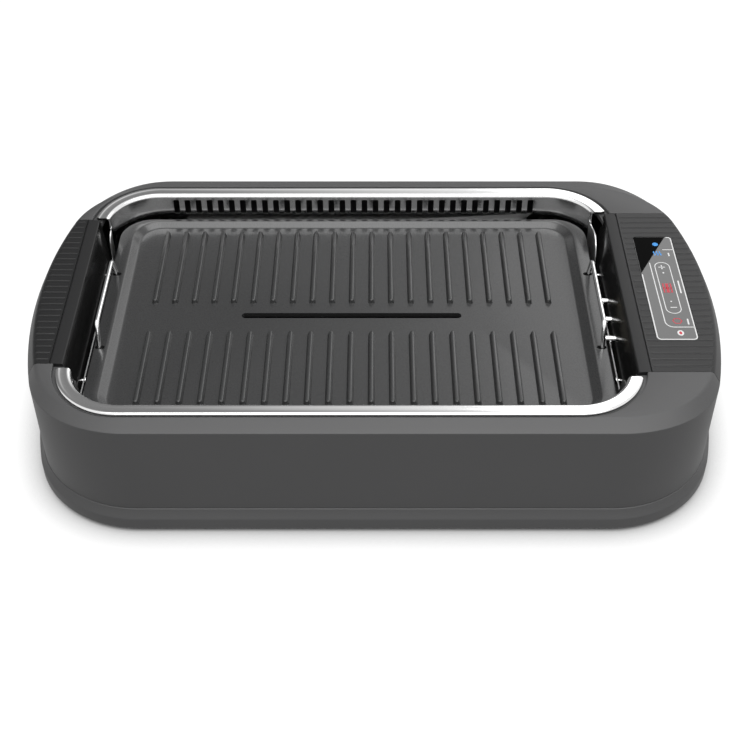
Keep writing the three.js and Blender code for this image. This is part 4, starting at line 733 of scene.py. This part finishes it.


# Touch panel with its printed marks, and a near-black triangle that is a painted reflection
def touch_panel():
    rings = []
    for grow, z in ((0, 104.9), (0, 105.7), (-0.06, 105.82), (-0.2, 105.9)):
        shape = rounded_box(PANEL_X0 - grow, PANEL_X1 + grow, PANEL_Y0 - grow, PANEL_Y1 + grow,
                            3.7 + grow, 10)
        rings.append([(x, y, z) for x, y in shape])
    gloss, painted_reflection, white, red, blue = range(5)
    reflection_top, print_bottom, print_top = 105.915, 105.88, 105.95
    shift_x, shift_y = 1.4, -1.7
    parts = [(*loft(rings), gloss)]
    # Painted reflection: a near-black triangle across one end of the glossy panel
    triangle = [(PANEL_X0 + 0.4, 22.0), (246.0, PANEL_Y1 - 0.4), (PANEL_X0 + 1.6, PANEL_Y1 - 0.4),
                (PANEL_X0 + 0.7, PANEL_Y1 - 1.0), (PANEL_X0 + 0.4, PANEL_Y1 - 1.9)]
    parts.append((*prism_z(triangle, print_bottom, reflection_top), painted_reflection))

    def line(points, width=0.8, slot=white, closed=False):
        moved = [(x + shift_x, y + shift_y) for x, y in points]
        parts.append((*ribbon(moved, width, print_bottom, print_top, closed), slot))

    def disc(x, y, radius_x, radius_y, slot, top=print_top):
        turns = (2 * math.pi * k / 28 for k in range(28))
        shape = [(x + shift_x + radius_x * math.cos(a), y + shift_y + radius_y * math.sin(a))
                 for a in turns]
        parts.append((*prism_z(shape, print_bottom, top), slot))

    def half_turn(x, y, start):
        turns = (start + math.pi * k / 24 for k in range(25))
        return [(x + 6.0 * math.cos(a), y + 6.0 * math.sin(a)) for a in turns]

    # Border and dividing lines
    border = [(245.6, 72.6), (249.3, 72.6, 2.4), (249.3, -59.2, 3.2), (218.3, -59.2, 3.2),
              (218.3, 22.0)]
    line(rounded(border, 8), 0.95)
    line([(240.0, 55.4), (249.2, 55.4)])
    line(rounded([(226.6, 37.4), (227.2, -44.6, 6.5), (249.2, -44.6)], 8))
    line(half_turn(236.2, 32.0, 0) + half_turn(236.6, -21.8, math.pi), 0.7, white, True)
    # Blue dot and three waves
    disc(235.2, 62.9, 2.4, 2.4, blue)
    for k in range(3):
        steps = (j / 12 for j in range(13))
        wave = [(232.6 + k * 2.4 + 0.5 * math.sin(t * 2 * math.pi), 47.6 + 5.6 * t) for t in steps]
        line(wave, 0.95, blue)
    # Plus, dots and minus
    line([(233.0, 31.7), (238.4, 31.7)], 0.9)
    line([(235.7, 29.0), (235.7, 34.4)], 0.9)
    disc(235.9, 24.1, 0.8, 0.8, white)
    disc(236.2, -12.9, 0.7, 0.7, white)
    line([(234.4, -20.4), (239.6, -20.4)], 0.9)
    # Two digits, a hexagon and a round key
    for x in (232.9, 236.6):
        line([(x, -1.5), (x, 9.9), (x + 2.5, 9.9), (x + 2.5, -1.5)], 1.15, red, True)
        line([(x, 4.2), (x + 2.5, 4.2)], 1.15, red)
    corners = (math.pi / 3 * k for k in range(6))
    line([(237.0 + 3.6 * math.cos(a), -37.1 + 3.4 * math.sin(a)) for a in corners], 0.9, red, True)
    disc(237.2, -51.6, 2.6, 3.2, white, print_top - 0.02)
    disc(237.2, -51.6, 1.2, 1.8, red)
    # Plain bars beside the keys
    line([(244.3, 46.6), (244.3, 51.0)], 1.2)
    line([(246.0, -2.4), (246.0, 13.6)], 1.2)
    line([(245.3, -41.4), (245.3, -34.6)], 1.2)
    return parts


panel = make_object("touch_strip", touch_panel())
finish_piece(panel, [panel_gloss, panel_painted_reflection, print_white, print_red, print_blue],
             "housing", ["touch_panel"])


# Grill plate
def plate_ring(half_x, half_y, radius, z):
    return ring(rectangle_outline(WELL_X, 0, half_x, half_y, radius, 12), 0, z)


# The pan with its flange: up the outside, then down the inside to the cooking surface
def plate_pan():
    hx, hy, r = PLATE_HALF_X, PLATE_HALF_Y, PLATE_RADIUS
    rings = [
        plate_ring(hx - 15.5, hy - 6.5, 16, 77.0),
        plate_ring(hx - 14.6, hy - 5.2, 17, 77.4),
        plate_ring(hx - 8.7, hy - 0.6, 26, 81.4),
        plate_ring(hx - 0.6, hy - 0.55, r - 0.5, 81.5),
        plate_ring(hx, hy, r, 82.2),
        plate_ring(hx, hy, r, 84.6),
        plate_ring(hx - 0.25, hy - 0.25, r - 0.2, 85.15),
        plate_ring(hx - 0.9, hy - 0.9, r - 0.9, 85.5),
        plate_ring(hx - 10.9, hy - 3.1, r - 3.2, 85.5),
        plate_ring(hx - 11.6, hy - 3.7, r - 3.8, 85.3),
        plate_ring(hx - 12.3, hy - 4.3, r - 4.3, 84.8),
        plate_ring(hx - 16.6, hy - 6.9, r - 7.4, 81.7),
        plate_ring(hx - 17.4, hy - 7.6, r - 8.0, 81.2),
        plate_ring(hx - 18.6, hy - 8.8, r - 9.2, 81.0),
    ]
    return loft(rings)


def plate_rib(x, y0, y1):
    section = [(2.9, 80.8), (2.65, 81.1), (2.3, 81.7), (1.75, 84.0), (1.6, 84.5), (1.3, 84.85),
               (0.85, 85.0)]
    rings = []
    for half, z in section:
        outline = arc(x, y1 - 2.5, half, 0, math.pi, 10)
        outline += arc(x, y0 + 2.5, half, math.pi, 2 * math.pi, 10)
        rings.append(ring(outline, 0, z))
    return loft(rings)


plate = make_object("ribbed_plate", [plate_pan()])
holes = [rounded_box(WELL_X - DRAIN_HALF_X, WELL_X + DRAIN_HALF_X, *DRAIN_Y, 3.0)]
for sx in (-1, 1):
    x = WELL_X + sx * (PLATE_HALF_X - 4.9)
    for sy in (-1, 1):
        y = sy * HANDLE_FOOT_Y
        holes.append(rounded_box(x - 3.8, x + 3.8, y - 2.15, y + 2.15, 2.0))
boolean(plate, [prism_z(hole, 60, 95) for hole in holes])
ribs = []
for i in range(-RIBS_EACH_WAY, RIBS_EACH_WAY + 1):
    for y0, y1 in RIB_ROWS:
        ribs.append(plate_rib(WELL_X + i * RIB_PITCH, y0, y1))
add_parts(plate, ribs)
finish_piece(plate, [plate_coated], "plate", ["grill_plate"], 35)


# Wire handles: a foot turned in under the flange, a leg, a shoulder and the grip
def wire_handle(side):
    lean = math.radians(HANDLE_LEAN)
    up = Vector((side * math.sin(lean), 0, math.cos(lean)))
    inward = Vector((-side * math.cos(lean), 0, math.sin(lean)))
    pivot = Vector((HANDLE_PIVOT_X[side], 0, HANDLE_PIVOT_Z))
    height = (DECK_Z - 1 - pivot.z) / math.cos(lean)
    knee = (FLANGE_TOP + WIRE - pivot.z) / math.cos(lean)

    def spot(y, rise, reach):
        point = pivot + up * rise + inward * reach
        return (point.x, y, point.z)

    def leg(sy):
        y = sy * HANDLE_FOOT_Y
        foot = bent([spot(y, 0, 3), spot(y, 0, 0), spot(y, knee, 0)], 1.9)
        top = [spot(sy * HANDLE_KNEE_Y, height, 0), spot(0, height, 0)]
        return foot + bent([spot(y, knee, 0)] + top, 6)[1:]

    return wire(leg(-1)[:-1] + list(reversed(leg(1)))[1:], WIRE)


for label, side in (("left", -1), ("right", 1)):
    handle = make_object("wire_handle_" + label, [wire_handle(side)])
    finish_piece(handle, [chrome], label + "_handle", ["handle_" + label], 60)

# Pins in the pod
PIN_PROFILE = [(0.0, 173.5), (1.2, 173.6), (1.9, 174.1), (2.35, 174.9), (2.5, 176.0),
               (2.5, 215.9), (0, 215.9)]
for i, node in ((-1, "contact_pin_front"), (0, "temperature_probe"), (1, "contact_pin_rear")):
    centre = (0, PIN_Y + i * PIN_PITCH, PIN_Z)
    pin = make_object("pin_" + node, [turned(PIN_PROFILE, centre, "x")])
    finish_piece(pin, [chrome], "housing", [node], 40)

# Screws that hold the low side walls
SCREW_PROFILE = [(0.0, -1.6), (1.6, -1.5), (2.5, -1.1), (2.95, -0.4), (3.0, 0.0), (1.5, 0.0),
                 (1.5, 12.0), (0, 12.0)]
for side, wall_x, _ in BLOCKS:
    for sy, where in ((-1, "front"), (1, "rear")):
        node = "liner_screw_%s_%s" % (where, "right" if side > 0 else "left")
        profile = [(radius, side * along) for radius, along in SCREW_PROFILE]
        face = (wall_x - side * 7.8, BLOCK_Y + sy * SCREW_Y, SCREW_Z)
        screw = make_object(node + "_new", [turned(profile, face, "x")])
        finish_piece(screw, [chrome], "housing", [node], 40)


# Floor, world and lamps
def shader_tree(owner):
    owner.use_nodes = True
    tree = owner.node_tree
    tree.nodes.clear()
    return tree.nodes, tree.links


# Pale floor: the camera sees it white with a soft shade close to the body, polished pieces
# mirror a light grey, and it throws little light back
def stage_plane():
    half, z = 6000, -0.1
    points = [(-half, -half, z), (half, -half, z), (half, half, z), (-half, half, z)]
    floor = make_object("floor", [(points, [(0, 1, 2, 3)])])
    material = bpy.data.materials.new("floor_white")
    nodes, links = shader_tree(material)
    output = nodes.new("ShaderNodeOutputMaterial")
    seen = nodes.new("ShaderNodeBsdfDiffuse")
    seen.inputs["Color"].default_value = (0.16, 0.16, 0.16, 1)
    near = nodes.new("ShaderNodeAmbientOcclusion")
    near.samples = 8
    near.inputs["Distance"].default_value = 0.03
    shade = nodes.new("ShaderNodeMapRange")
    shade.inputs["To Min"].default_value = -0.17
    shade.inputs["To Max"].default_value = 1.0
    links.new(near.outputs["AO"], shade.inputs["Value"])
    glow = nodes.new("ShaderNodeEmission")
    links.new(shade.outputs["Result"], glow.inputs["Strength"])
    both = nodes.new("ShaderNodeAddShader")
    plain = nodes.new("ShaderNodeBsdfDiffuse")
    plain.inputs["Color"].default_value = (0.35, 0.35, 0.35, 1)
    pale = nodes.new("ShaderNodeEmission")
    pale.inputs["Strength"].default_value = 0.74
    path = nodes.new("ShaderNodeLightPath")
    mirrored = nodes.new("ShaderNodeMixShader")
    mix = nodes.new("ShaderNodeMixShader")
    links.new(seen.outputs[0], both.inputs[0])
    links.new(glow.outputs[0], both.inputs[1])
    links.new(path.outputs["Is Glossy Ray"], mirrored.inputs[0])
    links.new(plain.outputs[0], mirrored.inputs[1])
    links.new(pale.outputs[0], mirrored.inputs[2])
    links.new(path.outputs["Is Camera Ray"], mix.inputs[0])
    links.new(mirrored.outputs[0], mix.inputs[1])
    links.new(both.outputs[0], mix.inputs[2])
    links.new(mix.outputs[0], output.inputs["Surface"])
    floor.data.materials.append(material)


stage_plane()


# A white studio whose rear left part is darker where polished pieces mirror it; as a light it
# is only a weak fill
def studio_world():
    world = bpy.data.worlds.new("studio")
    bpy.context.scene.world = world
    nodes, links = shader_tree(world)
    output = nodes.new("ShaderNodeOutputWorld")
    backdrop = nodes.new("ShaderNodeBackground")
    mirrored = nodes.new("ShaderNodeBackground")
    fill = nodes.new("ShaderNodeBackground")
    fill.inputs["Strength"].default_value = 0.15
    for shader in (backdrop, mirrored, fill):
        shader.inputs["Color"].default_value = (1, 1, 1, 1)
    place = nodes.new("ShaderNodeTexCoord")
    slant = nodes.new("ShaderNodeVectorMath")
    slant.operation = "DOT_PRODUCT"
    slant.inputs[1].default_value = (1.0, -0.35, 0.36)
    links.new(place.outputs["Generated"], slant.inputs[0])
    tone = nodes.new("ShaderNodeMapRange")
    tone.inputs["From Min"].default_value = -0.2
    tone.inputs["From Max"].default_value = 0.055
    tone.inputs["To Min"].default_value = 0.78
    tone.inputs["To Max"].default_value = 0.0
    links.new(slant.outputs["Value"], tone.inputs["Value"])
    parts = nodes.new("ShaderNodeSeparateXYZ")
    links.new(place.outputs["Generated"], parts.inputs[0])
    rear = nodes.new("ShaderNodeMapRange")
    rear.inputs["From Min"].default_value = 0.2
    rear.inputs["From Max"].default_value = 0.5
    links.new(parts.outputs["Y"], rear.inputs["Value"])
    darker = nodes.new("ShaderNodeMath")
    darker.operation = "MULTIPLY"
    links.new(tone.outputs["Result"], darker.inputs[0])
    links.new(rear.outputs["Result"], darker.inputs[1])
    left = nodes.new("ShaderNodeMath")
    left.operation = "SUBTRACT"
    left.inputs[0].default_value = 1.0
    links.new(darker.outputs[0], left.inputs[1])
    links.new(left.outputs[0], mirrored.inputs["Strength"])
    path = nodes.new("ShaderNodeLightPath")
    glossy = nodes.new("ShaderNodeMixShader")
    links.new(path.outputs["Is Glossy Ray"], glossy.inputs[0])
    links.new(fill.outputs[0], glossy.inputs[1])
    links.new(mirrored.outputs[0], glossy.inputs[2])
    mix = nodes.new("ShaderNodeMixShader")
    links.new(path.outputs["Is Camera Ray"], mix.inputs[0])
    links.new(glossy.outputs[0], mix.inputs[1])
    links.new(backdrop.outputs[0], mix.inputs[2])
    links.new(mix.outputs[0], output.inputs["Surface"])
    world.cycles.sampling_method = "NONE"


studio_world()


# Places and sizes in metres, power in watts
def softbox(name, location, target, width, depth, power):
    lamp = bpy.data.lights.new(name, "AREA")
    lamp.shape = "RECTANGLE"
    lamp.size = width
    lamp.size_y = depth
    lamp.energy = power
    obj = bpy.data.objects.new(name, lamp)
    obj.location = location
    obj.rotation_euler = (Vector(target) - Vector(location)).to_track_quat("-Z", "Y").to_euler()
    bpy.context.scene.collection.objects.link(obj)


softbox("top_box", (0.15, -0.45, 1.5), (0.05, 0, 0.1), 1.6, 1.3, 22)
softbox("side_box", (0.68, 1.15, 1.0), (0.2, 0, 0.1), 0.9, 0.6, 2.0)

bpy.context.scene.view_settings.view_transform = "Standard"
